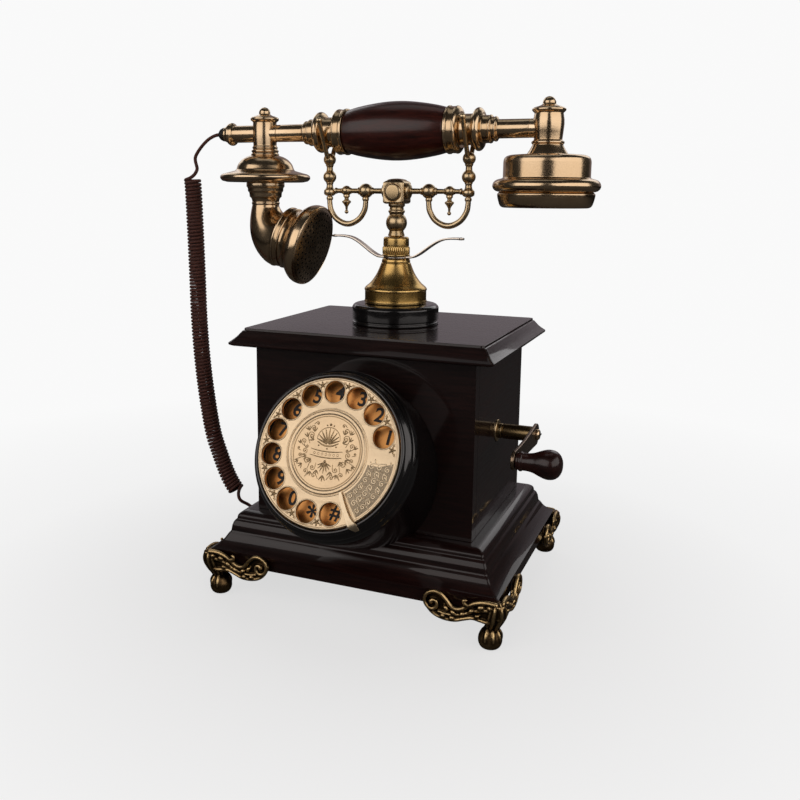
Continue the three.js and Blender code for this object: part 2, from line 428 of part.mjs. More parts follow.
add('dial_mechanism', join(cylZ(30, -30, -16, 20), cylZ(12, -16, -11.6, 16)), STEEL, dial);

// ----------------------------------------------------------------- the crank
add('crank_bush', latheRing([[CRANK_R + 0.25, BODY_W - 9.5], [7.5, BODY_W - 9.5], [7.5, BODY_W + 0.6], [CRANK_R + 0.25, BODY_W + 0.6]], 20).rotateY(Math.PI / 2).translate(0, CRANK_Y, CRANK_Z), GOLD);
add('crank_shaft', cylX(CRANK_R, 62, ARM_X - GAP, 20).translate(0, CRANK_Y, CRANK_Z), GOLD);
{
  // flat arm from the shaft to the knob
  const L = Math.hypot(KNOB_Y - CRANK_Y, KNOB_Z - CRANK_Z);
  const h0 = 7.2, h1 = 5.6;
  const pts = [];
  for (let i = 0; i <= 6; i++) { const a = rad(-90 + 30 * i); pts.push([h0 * Math.cos(a), h0 * Math.sin(a)]); }
  for (let i = 0; i <= 6; i++) { const a = rad(90 + 30 * i); pts.push([-L + h1 * Math.cos(a), h1 * Math.sin(a)]); }
  const plate = prismX(pts, ARM_X, ARM_X + ARM_T).rotateX(Math.atan2(CRANK_Z - KNOB_Z, KNOB_Y - CRANK_Y + 2 * L) * 1.0).translate(0, CRANK_Y, CRANK_Z);
  add('crank_arm', plate, BRASS);
}
add('crank_screw', latheX([[0, ARM_X + ARM_T + GAP], [3.6, ARM_X + ARM_T + GAP], [3.4, ARM_X + ARM_T + 1.3], [2.0, ARM_X + ARM_T + 2.2], [0, ARM_X + ARM_T + 2.4]], 14).translate(0, CRANK_Y, CRANK_Z), BRASS);
add('crank_knob', latheX([[0, 0], [5.2, 0], [5.6, 1.0], [5.5, 5], [5.9, 9.5], [7.4, 13.5], [8.6, 17.0], [8.9, 19.6], [8.4, 22.6], [6.6, 25.2], [3.6, 26.8], [0, 27.3]], 20)
  .translate(ARM_X + ARM_T + GAP, KNOB_Y, KNOB_Z), WOOD_RED);

// ------------------------------------------------------------ inner workings
add('circuit_board', box(-60, 20, 5, 45, 28.4, 30.0), BOARD);
add('ringer_gong', latheRing([[1.6, 48.0], [1.6, 46.6], [12, 45.6], [20.4, 41.0], [22.6, 33.0], [24.0, 33.0], [21.6, 42.0], [12.6, 47.0]], 24).translate(38, 8, 0), STEEL);
add('hook_switch', join(box(-9, 9, -6, 6, 141.0, 160.0), box(-1.2, 1.2, -4, 4, 159.6, 164.0)), RUBBER);

// ------------------------------------------------------------------ the cord
add('cord_lead', bar(LEAD_PATH, LEAD_D / 2, { sides: 8, steps: 8 }), FABRIC);
add('cord_coil', bar(COIL_PATH, CORD_D / 2, { sides: 10, steps: 20 }), FABRIC);
{
  const jackZ = 28.2;
  const body = box(-BODY_W - 33, -BODY_W - 14.5, -3.2, 3.2, jackZ - 2.7, jackZ + 2.7);
  const boot = latheX([[0, -7.6], [1.9, -7.6], [2.5, -1], [2.5, 1], [0, 1]], 12).rotateY(rad(14)).translate(-BODY_W - 33.4, 0, jackZ);
  add('cord_plug', join(body, boot), RUBBER);
}

export default model;
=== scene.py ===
import math
import random

import bmesh
import bpy
import numpy as np
from mathutils import Matrix, Vector


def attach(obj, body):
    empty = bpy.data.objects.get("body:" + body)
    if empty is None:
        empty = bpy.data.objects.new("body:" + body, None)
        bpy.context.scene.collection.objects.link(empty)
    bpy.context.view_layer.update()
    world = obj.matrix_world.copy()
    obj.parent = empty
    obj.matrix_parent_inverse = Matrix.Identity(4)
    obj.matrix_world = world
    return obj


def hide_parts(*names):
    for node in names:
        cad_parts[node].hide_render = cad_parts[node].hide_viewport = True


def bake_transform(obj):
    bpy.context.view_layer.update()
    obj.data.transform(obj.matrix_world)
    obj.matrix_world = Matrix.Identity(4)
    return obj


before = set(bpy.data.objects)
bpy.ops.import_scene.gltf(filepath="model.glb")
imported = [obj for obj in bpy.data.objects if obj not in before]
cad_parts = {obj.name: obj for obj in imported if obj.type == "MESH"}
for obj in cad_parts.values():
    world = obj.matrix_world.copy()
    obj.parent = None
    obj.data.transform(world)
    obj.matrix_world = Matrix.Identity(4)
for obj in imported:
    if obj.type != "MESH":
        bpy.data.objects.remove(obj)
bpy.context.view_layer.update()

random.seed(7)
rad = math.radians
OX, OY = 1.95, 20.05            # shift of the model, as in the CAD source (mm)
HS_Z = 308.2
BODY_W, BODY_D = 75.0, 59.5
DIAL_Y, DIAL_Z, DIAL_TILT = -109.5, 118.0, 24.0
CRANK_Y, CRANK_Z, KNOB_Y, KNOB_Z = -4.0, 113.3, -62.0, 112.2
ARM_X, ARM_T = 99.2, 2.2


def P(x, y, z):
    return Vector(((x + OX) / 1000, (y + OY) / 1000, z / 1000))


# ------------------------------------------------------------------- camera
cam = bpy.data.objects.new("Camera", bpy.data.cameras.new("Camera"))
bpy.context.scene.collection.objects.link(cam)
bpy.context.scene.camera = cam
az, pitch, roll = rad(22.67), rad(9.82), rad(0.44)
fwd = Vector((-math.sin(az) * math.cos(pitch), math.cos(az) * math.cos(pitch), -math.sin(pitch)))
right0 = fwd.cross(Vector((0, 0, 1))).normalized()
up0 = right0.cross(fwd).normalized()
right = right0 * math.cos(roll) + up0 * math.sin(roll)
up = -right0 * math.sin(roll) + up0 * math.cos(roll)
cam.location = P(214.15, -557.39, 267.64)
cam.rotation_mode = "QUATERNION"
cam.rotation_quaternion = Matrix((right, up, -fwd)).transposed().to_quaternion()
cam.data.sensor_width = 36
cam.data.lens = 39.52
cam.data.shift_x, cam.data.shift_y = 0.0375, -0.06875
cam.data.clip_start, cam.data.clip_end = 0.01, 50


# ---------------------------------------------------------------- materials
def new_mat(name):
    m = bpy.data.materials.new(name)
    m.use_nodes = True
    nt = m.node_tree
    return m, nt, nt.nodes["Principled BSDF"]


def nn(nt, kind, **kw):
    n = nt.nodes.new(kind)
    for k, v in kw.items():
        if k in n.inputs:
            n.inputs[k].default_value = v
        else:
            setattr(n, k, v)
    return n


def ramp(nt, fac, stops):
    r = nn(nt, "ShaderNodeValToRGB")
    els = r.color_ramp.elements
    while len(els) < len(stops):
        els.new(0.5)
    for e, (p, c) in zip(els, stops):
        e.position = p
        e.color = (*c, 1) if len(c) == 3 else c
    nt.links.new(fac, r.inputs[0])
    return r.outputs[0]


def grey(v):
    return (v, v, v)


def mapped(nt, scale=(1, 1, 1), rot=(0, 0, 0)):
    tc = nn(nt, "ShaderNodeTexCoord")
    mp = nn(nt, "ShaderNodeMapping")
    mp.inputs["Scale"].default_value = scale
    mp.inputs["Rotation"].default_value = rot
    nt.links.new(tc.outputs["Object"], mp.inputs[0])
    return mp.outputs[0]


def noise(nt, vec, scale, detail=4, rough=0.55):
    n = nn(nt, "ShaderNodeTexNoise")
    n.inputs["Scale"].default_value = scale
    n.inputs["Detail"].default_value = detail
    n.inputs["Roughness"].default_value = rough
    nt.links.new(vec, n.inputs["Vector"])
    return n.outputs["Fac"]


def math_node(nt, op, a, b=0.5, clamp=False):
    n = nn(nt, "ShaderNodeMath", operation=op, use_clamp=clamp)
    for i, v in enumerate((a, b)):
        if isinstance(v, (int, float)):
            n.inputs[i].default_value = v
        else:
            nt.links.new(v, n.inputs[i])
    return n.outputs[0]


def bump(nt, height, strength, dist, bsdf):
    b = nn(nt, "ShaderNodeBump")
    b.inputs["Strength"].default_value = strength
    b.inputs["Distance"].default_value = dist
    nt.links.new(height, b.inputs["Height"])
    nt.links.new(b.outputs[0], bsdf.inputs["Normal"])


def metal(name, dark, mid, high, rough=(0.16, 0.3), patina_and_shade=1.0, fine=900, tint=0.25, bumps=0.06):
    """Aged metal: the 'cav' attribute (0 hollow, 1 ridge) and noise pick the base colour, dark in hollows and light on
    ridges: partly patina and rubbed wear, partly painted shade and painted highlight.
    """
    m, nt, b = new_mat(name)
    b.inputs["Metallic"].default_value = 1.0
    vec = mapped(nt)
    at = nn(nt, "ShaderNodeAttribute", attribute_name="cav")
    n1 = noise(nt, vec, 60, 5)
    n2 = noise(nt, vec, fine, 3)
    mix = math_node(nt, "MULTIPLY_ADD", n1, tint)
    mix.node.inputs[2].default_value = -tint / 2
    v = math_node(nt, "ADD", at.outputs["Fac"], mix)
    # this factor scales the patina together with the painted shade in hollows and the painted highlight on ridges
    if patina_and_shade < 1:
        v = math_node(nt, "MULTIPLY_ADD", v, patina_and_shade)
        v.node.inputs[2].default_value = (1 - patina_and_shade) * 0.55
    col = ramp(nt, v, [(0.0, dark), (0.30, tuple(0.6 * a + 0.4 * c for a, c in zip(dark, mid))), (0.5, mid), (0.78, high), (1.0, high)])
    nt.links.new(col, b.inputs["Base Color"])
    r = math_node(nt, "ADD", math_node(nt, "MULTIPLY", n1, 0.6), math_node(nt, "MULTIPLY", n2, 0.4))
    nt.links.new(ramp(nt, r, [(0.3, grey(rough[0])), (0.72, grey(rough[1]))]), b.inputs["Roughness"])
    bump(nt, n2, bumps, 0.0004, b)
    return m


def wood(name, dark, red, along=(1, 14, 14), rough=0.34, coat=0.85, coat_rough=0.05, amount=1.0):
    m, nt, b = new_mat(name)
    vec = mapped(nt, along)
    g1 = noise(nt, vec, 38, 6, 0.6)
    g2 = noise(nt, vec, 160, 4, 0.7)
    big = noise(nt, mapped(nt, (1, 1, 1)), 9, 3)
    v = math_node(nt, "ADD", math_node(nt, "MULTIPLY", g1, 0.6), math_node(nt, "MULTIPLY", g2, 0.25))
    v = math_node(nt, "ADD", v, math_node(nt, "MULTIPLY", big, 0.25))
    col = ramp(nt, v, [(0.38, dark), (0.55, tuple(a + (c - a) * 0.45 * amount for a, c in zip(dark, red))), (0.72, tuple(a + (c - a) * amount for a, c in zip(dark, red)))])
    nt.links.new(col, b.inputs["Base Color"])
    nt.links.new(ramp(nt, g1, [(0.3, grey(rough)), (0.7, grey(rough + 0.12))]), b.inputs["Roughness"])
    b.inputs["Coat Weight"].default_value = coat
    b.inputs["Coat Roughness"].default_value = coat_rough
    b.inputs["Coat IOR"].default_value = 1.42
    b.inputs["Specular IOR Level"].default_value = 0.22
    bump(nt, g2, 0.03, 0.0002, b)
    return m


BRASS = metal("antique_brass", (0.035, 0.020, 0.011), (0.62, 0.44, 0.255), (0.88, 0.68, 0.45), rough=(0.15, 0.25))
# cast brass: near-black mid and bright high, so the cav mask paints strong shade in hollows and highlights on ridges,
# over patina
CAST = metal("cast_brass", (0.010, 0.007, 0.004), (0.16, 0.10, 0.045), (0.86, 0.62, 0.30), rough=(0.24, 0.42), tint=0.3, bumps=0.25)
CRADLE = metal("cradle_brass", (0.035, 0.022, 0.012), (0.44, 0.31, 0.155), (0.80, 0.62, 0.38), rough=(0.24, 0.34), tint=0.15, bumps=0.03)
GOLD = metal("gold_brass", (0.09, 0.045, 0.012), (0.62, 0.385, 0.115), (0.86, 0.61, 0.26), rough=(0.22, 0.32), patina_and_shade=0.85, tint=0.16, bumps=0.03)
PALE = metal("pale_brass", (0.26, 0.17, 0.085), (0.80, 0.60, 0.37), (0.96, 0.80, 0.56), rough=(0.34, 0.48), patina_and_shade=0.6, tint=0.12, bumps=0.15)
LINE = metal("engraved_line", (0.08, 0.05, 0.025), (0.27, 0.18, 0.10), (0.50, 0.36, 0.20), rough=(0.35, 0.5), patina_and_shade=0.5)
DARK_FIELD = metal("darker_field", (0.14, 0.10, 0.065), (0.34, 0.26, 0.17), (0.52, 0.42, 0.29), rough=(0.42, 0.6), fine=1600, tint=0.5, bumps=0.6)
COPPER = metal("number_copper", (0.22, 0.08, 0.02), (0.62, 0.27, 0.08), (0.82, 0.42, 0.14), rough=(0.34, 0.5), patina_and_shade=0.4, tint=0.5)
STRIP = metal("leaf_steel", (0.20, 0.16, 0.13), (0.55, 0.46, 0.38), (0.80, 0.72, 0.62), rough=(0.18, 0.34), patina_and_shade=0.8)
STEEL = metal("plain_steel", (0.2, 0.2, 0.2), (0.5, 0.5, 0.5), (0.7, 0.7, 0.7), rough=(0.25, 0.4), patina_and_shade=0.6)
WOOD_X = wood("lacquer_along_x", (0.0035, 0.0014, 0.0013), (0.022, 0.0052, 0.0038))
WOOD_Y = wood("lacquer_along_y", (0.0035, 0.0014, 0.0013), (0.022, 0.0052, 0.0038), along=(14, 1, 14))
WOOD_Z = wood("lacquer_along_z", (0.0035, 0.0014, 0.0013), (0.022, 0.0052, 0.0038), along=(14, 14, 1))
GRIP = wood("grip_red_wood", (0.012, 0.0030, 0.0022), (0.085, 0.014, 0.008), along=(1, 9, 9), rough=0.3, coat=0.9, coat_rough=0.2)
BOARD_WOOD = wood("base_board", (0.05, 0.03, 0.02), (0.12, 0.07, 0.04), rough=0.6, coat=0.0)


def plastic(name, colour, rough, coat=0.0, coat_rough=0.1, grain=700, depth=0.1):
    m, nt, b = new_mat(name)
    vec = mapped(nt)
    n = noise(nt, vec, grain, 3)
    w = noise(nt, vec, 25, 3)
    nt.links.new(ramp(nt, w, [(0.3, tuple(c * 0.8 for c in colour)), (0.7, tuple(min(1, c * 1.2) for c in colour))]), b.inputs["Base Color"])
    nt.links.new(ramp(nt, n, [(0.3, grey(rough)), (0.7, grey(min(1, rough + 0.08)))]), b.inputs["Roughness"])
    b.inputs["Coat Weight"].default_value = coat
    b.inputs["Coat Roughness"].default_value = coat_rough
    bump(nt, n, depth, 0.0002, b)
    return m


BLACK = plastic("black_gloss", (0.0055, 0.0050, 0.0052), 0.16, coat=0.6, coat_rough=0.05, depth=0.02)
RUBBER = plastic("black_rubber", (0.012, 0.012, 0.012), 0.55)
JACK = plastic("moulded_black", (0.015, 0.015, 0.016), 0.42)
INK = plastic("digit_ink", (0.010, 0.007, 0.006), 0.5)
# near-black paint for holes, slots and gaps: painted shade
SHADE_BLACK = plastic("painted_shade_black", (0.004, 0.003, 0.002), 0.8)
PCB = plastic("circuit_green", (0.02, 0.10, 0.05), 0.4)


def fabric(name):
    """Ribbed cord cover; u runs along the cord and v round it."""
    m, nt, b = new_mat(name)
    uv = nn(nt, "ShaderNodeUVMap", uv_map="along")
    sep = nn(nt, "ShaderNodeSeparateXYZ")
    nt.links.new(uv.outputs[0], sep.inputs[0])
    u, v = sep.outputs[0], sep.outputs[1]
    a = math_node(nt, "SINE", math_node(nt, "ADD", math_node(nt, "MULTIPLY", u, 2 * math.pi / 0.9), math_node(nt, "MULTIPLY", v, 2 * math.pi * 2)))
    c = math_node(nt, "SINE", math_node(nt, "SUBTRACT", math_node(nt, "MULTIPLY", u, 2 * math.pi / 0.9), math_node(nt, "MULTIPLY", v, 2 * math.pi * 2)))
    w = math_node(nt, "MULTIPLY", a, c)
    w = math_node(nt, "MULTIPLY_ADD", w, 0.5)
    w.node.inputs[2].default_value = 0.5
    n = noise(nt, mapped(nt), 300, 3)
    s = math_node(nt, "ADD", math_node(nt, "MULTIPLY", w, 0.6), math_node(nt, "MULTIPLY", n, 0.4))
    # the colour follows the weave's height: darker troughs are painted shade and lighter crests painted highlight, with
    # noise for random tone
    nt.links.new(ramp(nt, s, [(0.25, (0.030, 0.0065, 0.004)), (0.6, (0.105, 0.026, 0.0145)), (0.85, (0.19, 0.058, 0.034))]), b.inputs["Base Color"])
    b.inputs["Roughness"].default_value = 0.62
    b.inputs["Sheen Weight"].default_value = 0.12
    bump(nt, w, 0.35, 0.0002, b)
    return m


FABRIC = fabric("woven_cord")


# --------------------------------------------------------------- mesh tools
def rnd(pts, r=0.45, n=3, closed=False, min_angle=9):
    """Rounds the corners of a profile."""
    pts = [tuple(map(float, p)) for p in pts]
    m = len(pts)
    out = []
    for i, p in enumerate(pts):
        if not closed and i in (0, m - 1):
            out.append(p)
            continue
        a, b = np.array(pts[i - 1]), np.array(pts[(i + 1) % m])
        c = np.array(p)
        u, v = a - c, b - c
        lu, lv = np.linalg.norm(u), np.linalg.norm(v)
        if lu < 1e-6 or lv < 1e-6:
            continue
        ang = 180 - math.degrees(math.acos(max(-1, min(1, float(u @ v) / lu / lv))))
        if ang < min_angle:
            out.append(p)
            continue
        d = min(r, 0.42 * lu, 0.42 * lv)
        s, e = c + u / lu * d, c + v / lv * d
        for k in range(n + 1):
            t = k / n
            q = (1 - t) ** 2 * s + 2 * t * (1 - t) * c + t * t * e
            out.append(tuple(q))
    return out


def smooth_profile(pts, per=6):
    """Catmull-Rom through all points."""
    pts = [np.array(p, float) for p in pts]
    q = [2 * pts[0] - pts[1]] + pts + [2 * pts[-1] - pts[-2]]
    out = []
    for i in range(1, len(q) - 2):
        p0, p1, p2, p3 = q[i - 1], q[i], q[i + 1], q[i + 2]
        for k in range(per):
            t = k / per
            out.append(0.5 * ((2 * p1) + (-p0 + p2) * t + (2 * p0 - 5 * p1 + 4 * p2 - p3) * t * t + (-p0 + 3 * p1 - 3 * p2 + p3) * t ** 3))
    out.append(pts[-1])
    return out


def lathe(prof, seg=72, closed=False, mod=None):
    """Solid of revolution about Z; the profile starts and ends on the axis, or is closed."""
    V, F, rows = [], [], []
    for i, (r, z) in enumerate(prof):
        if r < 1e-5:
            rows.append([len(V)] * seg)
            V.append((0, 0, z))
        else:
            rows.append(list(range(len(V), len(V) + seg)))
            for k in range(seg):
                a = 2 * math.pi * k / seg
                rr = r + (mod(a, r, z) if mod else 0)
                V.append((rr * math.cos(a), rr * math.sin(a), z))
    n = len(rows)
    for i in range(n if closed else n - 1):
        a, b = rows[i], rows[(i + 1) % n]
        for k in range(seg):
            k2 = (k + 1) % seg
            f = [a[k], a[k2], b[k2], b[k]]
            g = []
            for x in f:
                if x not in g:
                    g.append(x)
            if len(g) >= 3:
                F.append(tuple(g))
    return np.array(V, float), F


def lx(prof, seg=72, **kw):
    """Lathe about X."""
    V, F = lathe(prof, seg, **kw)
    return np.stack([V[:, 2], V[:, 1], -V[:, 0]], 1), F


def frames(pts):
    """Parallel-transport frames along a polyline."""
    pts = np.array(pts, float)
    T = np.gradient(pts, axis=0)
    T /= np.linalg.norm(T, axis=1)[:, None]
    ref = np.array([0, 1, 0.0]) if abs(T[0][1]) < 0.9 else np.array([1.0, 0, 0])
    N = ref - T[0] * (ref @ T[0])
    N /= np.linalg.norm(N)
    out = [N]
    for i in range(1, len(pts)):
        N = out[-1] - T[i] * (out[-1] @ T[i])
        N /= np.linalg.norm(N)
        out.append(N)
    N = np.array(out)
    return pts, T, N, np.cross(T, N)


def tube(pts, r, sides=10, flat=1.0):
    """Round bar with domed ends along a polyline; r is a number or a list."""
    pts, T, N, B = frames(pts)
    n = len(pts)
    R = np.full(n, r, float) if np.isscalar(r) else np.array(r, float)
    V, F = [], []
    rings = []
    for i in range(n):
        rings.append((pts[i], N[i], B[i], R[i]))
    cap0 = [(pts[0] - T[0] * R[0] * math.sin(a), N[0], B[0], R[0] * math.cos(a)) for a in (rad(60), rad(30))]
    cap1 = [(pts[-1] + T[-1] * R[-1] * math.sin(a), N[-1], B[-1], R[-1] * math.cos(a)) for a in (rad(30), rad(60))]
    rings = cap0 + rings + cap1
    for c, a, b, rr in rings:
        for k in range(sides):
            t = 2 * math.pi * k / sides
            V.append(c + rr * (math.cos(t) * a + flat * math.sin(t) * b))
    m = len(rings)
    for i in range(m - 1):
        for k in range(sides):
            k2 = (k + 1) % sides
            F.append((i * sides + k, i * sides + k2, (i + 1) * sides + k2, (i + 1) * sides + k))
    s0, s1 = len(V), len(V) + 1
    V += [pts[0] - T[0] * R[0], pts[-1] + T[-1] * R[-1]]
    for k in range(sides):
        k2 = (k + 1) % sides
        F.append((s0, k2, k))
        F.append((s1, (m - 1) * sides + k, (m - 1) * sides + k2))
    return np.array(V), F


def loft(rings, caps=(True, True)):
    n = len(rings[0])
    V = [p for r in rings for p in r]
    F = []
    for i in range(len(rings) - 1):
        for k in range(n):
            k2 = (k + 1) % n
            F.append((i * n + k, i * n + k2, (i + 1) * n + k2, (i + 1) * n + k))
    for end, i in ((0, 0), (1, len(rings) - 1)):
        if caps[end]:
            c = len(V)
            V.append(np.mean(np.array(rings[i], float), 0))
            for k in range(n):
                k2 = (k + 1) % n
                F.append((c, i * n + k2, i * n + k) if end == 0 else (c, i * n + k, i * n + k2))
    return np.array([list(v) for v in V], float), F


def merge(*parts):
    V, F, o = [], [], 0
    for v, f in parts:
        V.append(np.array(v, float))
        F += [tuple(i + o for i in g) for g in f]
        o += len(v)
    return np.concatenate(V), F


def shift(part, x=0, y=0, z=0):
    return part[0] + np.array([x, y, z], float), part[1]


def apply(part, m):
    v = np.c_[part[0], np.ones(len(part[0]))] @ np.array(m).T
    return v[:, :3], part[1]


def mirror_x(part):
    v = part[0].copy()
    v[:, 0] *= -1
    return v, [tuple(reversed(f)) for f in part[1]]


DIAL_M = Matrix.Translation((0, DIAL_Y, DIAL_Z)) @ Matrix.Rotation(rad(90 - DIAL_TILT), 4, "X")


def cavity(me, gain=1.0, spread=2, base=0.55):
    """Point attribute 'cav': near 0 in hollows, near 1 on ridges; the metal colours turn it into painted shade in
    hollows and painted highlight on ridges, over patina and wear.
    """
    n = len(me.vertices)
    co = np.zeros(n * 3)
    me.vertices.foreach_get("co", co)
    co = co.reshape(-1, 3)
    no = np.array([v.normal for v in me.vertices])
    e = np.zeros(len(me.edges) * 2, int)
    me.edges.foreach_get("vertices", e)
    e = e.reshape(-1, 2)
    d = co[e[:, 1]] - co[e[:, 0]]
    L = np.linalg.norm(d, axis=1)
    L[L < 1e-9] = 1e-9
    acc, cnt = np.zeros(n), np.zeros(n)
    c0 = -(d * no[e[:, 0]]).sum(1) / L
    c1 = (d * no[e[:, 1]]).sum(1) / L
    np.add.at(acc, e[:, 0], c0)
    np.add.at(acc, e[:, 1], c1)
    np.add.at(cnt, e[:, 0], 1)
    np.add.at(cnt, e[:, 1], 1)
    c = acc / np.maximum(cnt, 1)
    for _ in range(spread):
        s = np.zeros(n)
        np.add.at(s, e[:, 0], c[e[:, 1]])
        np.add.at(s, e[:, 1], c[e[:, 0]])
        c = 0.5 * c + 0.5 * s / np.maximum(cnt, 1)
    v = np.clip(base + gain * c, 0, 1).astype(np.float32)
    a = me.attributes.get("cav") or me.attributes.new("cav", "FLOAT", "POINT")
    a.data.foreach_set("value", v)


def make(name, part, mat, body, nodes=(), sharp=38, space=None, gain=1.6, base=0.55, spread=2, mats=(), face_mats=None):
    """part is (vertices, faces) in millimetres of the design, or in space's local millimetres."""
    V, F = part
    if space is not None:
        V, F = apply((V, F), space)
    W = (np.array(V) + np.array([OX, OY, 0])) / 1000
    me = bpy.data.meshes.new(name)
    me.from_pydata([tuple(v) for v in W], [], [tuple(f) for f in F])
    me.validate()
    bm = bmesh.new()
    bm.from_mesh(me)
    bmesh.ops.remove_doubles(bm, verts=bm.verts, dist=2e-6)
    bmesh.ops.recalc_face_normals(bm, faces=bm.faces)
    bm.to_mesh(me)
    bm.free()
    for p in me.polygons:
        p.use_smooth = True
    me.set_sharp_from_angle(angle=rad(sharp))
    cavity(me, gain, spread, base)
    me.materials.append(mat)
    for m in mats:
        me.materials.append(m)
    o = bpy.data.objects.new(name, me)
    bpy.context.scene.collection.objects.link(o)
    if body:
        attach(o, body)
    if nodes:
        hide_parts(*nodes)
    return o


def finish_mesh(o, sharp=38, gain=1.6, base=0.55, spread=2):
    me = o.data
    for p in me.polygons:
        p.use_smooth = True
    me.set_sharp_from_angle(angle=rad(sharp))
    cavity(me, gain, spread, base)


def bake_modifiers(o):
    dg = bpy.context.evaluated_depsgraph_get()
    me = bpy.data.meshes.new_from_object(o.evaluated_get(dg), depsgraph=dg)
    o.modifiers.clear()
    o.data = me


def flat_shape(loops, thick, bev=0.3, res=2):
    """Filled 2D loops (first is the outside), extruded to +-thick/2 with rounded edges; returns (V, F) with Z the thickness."""
    cu = bpy.data.curves.new("tmp", "CURVE")
    cu.dimensions = "2D"
    cu.fill_mode = "BOTH"
    cu.extrude = (thick / 2 - bev)
    cu.bevel_depth = bev
    cu.bevel_resolution = res
    cu.offset = -bev
    for loop in loops:
        sp = cu.splines.new("POLY")
        sp.points.add(len(loop) - 1)
        for i, (x, y) in enumerate(loop):
            sp.points[i].co = (x, y, 0, 1)
        sp.use_cyclic_u = True
    o = bpy.data.objects.new("tmp", cu)
    bpy.context.scene.collection.objects.link(o)
    dg = bpy.context.evaluated_depsgraph_get()
    me = bpy.data.meshes.new_from_object(o.evaluated_get(dg), depsgraph=dg)
    V = np.array([v.co for v in me.vertices], float)
    F = [tuple(p.vertices) for p in me.polygons]
    bpy.data.objects.remove(o)
    bpy.data.curves.remove(cu)
    bpy.data.meshes.remove(me)
    return V, F


def circle(cx, cy, r, n=48, rev=False):
    pts = [(cx + r * math.cos(2 * math.pi * k / n), cy + r * math.sin(2 * math.pi * k / n)) for k in range(n)]
    return pts[::-1] if rev else pts


def ball(r, z, n=10, a0=-90, a1=90):
    return [(max(0.0, r * math.cos(rad(a0 + (a1 - a0) * i / n))), z + r * math.sin(rad(a0 + (a1 - a0) * i / n))) for i in range(n + 1)]


def ribbon(path, widths, thick, cross=(0, 1, 0), seg=4):
    """Strip of rectangular section with softened edges along a path; width runs along cross."""
    path = np.array(path, float)
    T = np.gradient(path, axis=0)
    T /= np.linalg.norm(T, axis=1)[:, None]
    c = np.array(cross, float)
    rings = []
    for p, t, w in zip(path, T, widths):
        n = np.cross(t, c)
        n /= np.linalg.norm(n)
        e = min(thick * 0.35, w * 0.3)
        h, k = w / 2, thick / 2
        sec = [(-h + e * .3, -k), (-h, -k + e * .6), (-h, k - e * .6), (-h + e * .3, k), (-h * .5, k), (h * .5, k), (h - e * .3, k), (h, k - e * .6), (h, -k + e * .6), (h - e * .3, -k), (h * .5, -k), (-h * .5, -k)]
        rings.append([p + a * c + b * n for a, b in sec])
    return loft(rings)


# ------------------------------------------------------------------ the cord
LEAD_PATH = [(-137.0, 0, HS_Z), (-139.5, 0, 308.0), (-142.5, 0, 307.2), (-147.3, 0, 304.8), (-153.0, 0, 300.0), (-157.8, 0, 294.2), (-161.0, 0, 288.6), (-162.2, 0, 284.6)]
COIL_PATH = [(-162.3, 0, 283.0), (-161.2, 0, 272.0), (-160.3, 0, 245.4), (-159.4, 0, 207.6), (-158.6, 0, 168.8), (-155.6, 0, 129.6), (-149.7, 0, 90.2), (-143.6, 0, 70.6),
             (-135.4, 0, 51.4), (-126.0, 0, 38.6), (-117.6, 0, 31.0)]
BOOT_END = (-115.8, 0, 30.04)


def resample(pts, step):
    pts = np.array(pts, float)
    s = np.r_[0, np.cumsum(np.linalg.norm(np.diff(pts, axis=0), axis=1))]
    n = max(2, int(round(s[-1] / step)) + 1)
    t = np.linspace(0, s[-1], n)
    return np.stack([np.interp(t, s, pts[:, k]) for k in range(3)], 1), t


WIRE_R, COIL_R, PITCH = 1.25, 5.2, 2.56
line = smooth_profile(LEAD_PATH[:-1] + COIL_PATH, 24) + [np.array(BOOT_END), np.array(BOOT_END) + np.array([1.9, 0, -0.47])]
axis_pts, axis_s = resample(line, 0.11)
lead_len = float(np.sum(np.linalg.norm(np.diff(np.array(smooth_profile(LEAD_PATH, 24)), axis=0), axis=1)))
total = axis_s[-1]
_, aT, _, _ = frames(axis_pts)
N0 = np.array([0, 1.0, 0])
R_IN, R_OUT, TURN_R = 12.0, 10.0, 10.0
turn_on = lead_len - 2.0
swing_on = turn_on - R_IN * 0.75
swing_off = total - 2.6
turn_off = swing_off - R_OUT * 0.75


def ease(t):
    u = min(1, max(0, t))
    return u * u * u * (u * (6 * u - 15) + 10)


def turn_rate(x):
    """Turns per length that bend the wire from the axis into the coil at a steady radius."""
    if x <= 0:
        return 0
    return min(2 * math.pi / PITCH, math.tan(math.asin(min(0.9999, x / TURN_R))) / COIL_R)


phase = math.pi / 2
centre = []
for i, (p, s) in enumerate(zip(axis_pts, axis_s)):
    R = COIL_R * min(ease((s - swing_on) / R_IN), ease((swing_off - s) / R_OUT))
    phase += 0.11 * min(turn_rate(s - turn_on), turn_rate(turn_off - s))
    centre.append(p + R * (math.cos(phase) * N0 + math.sin(phase) * np.cross(aT[i], N0)))
centre, _ = resample(np.array(centre), 0.4)
for _ in range(2):
    smoothed = centre.copy()
    for k in range(3):
        smoothed[2:-2, k] = np.convolve(centre[:, k], np.ones(5) / 5, "valid")
    centre = smoothed
centre, cs = resample(centre, 1.5)
sides = 8
pts_c, cT, cN, cB = frames(centre)
V = []
for i in range(len(pts_c)):
    for k in range(sides):
        a = 2 * math.pi * k / sides
        V.append(pts_c[i] + WIRE_R * (math.cos(a) * cN[i] + math.sin(a) * cB[i]))
F = [(i * sides + k, i * sides + (k + 1) % sides, (i + 1) * sides + (k + 1) % sides, (i + 1) * sides + k) for i in range(len(pts_c) - 1) for k in range(sides)]
F += [tuple(reversed(range(sides))), tuple(range((len(pts_c) - 1) * sides, len(pts_c) * sides))]
me = bpy.data.meshes.new("curly_cord")
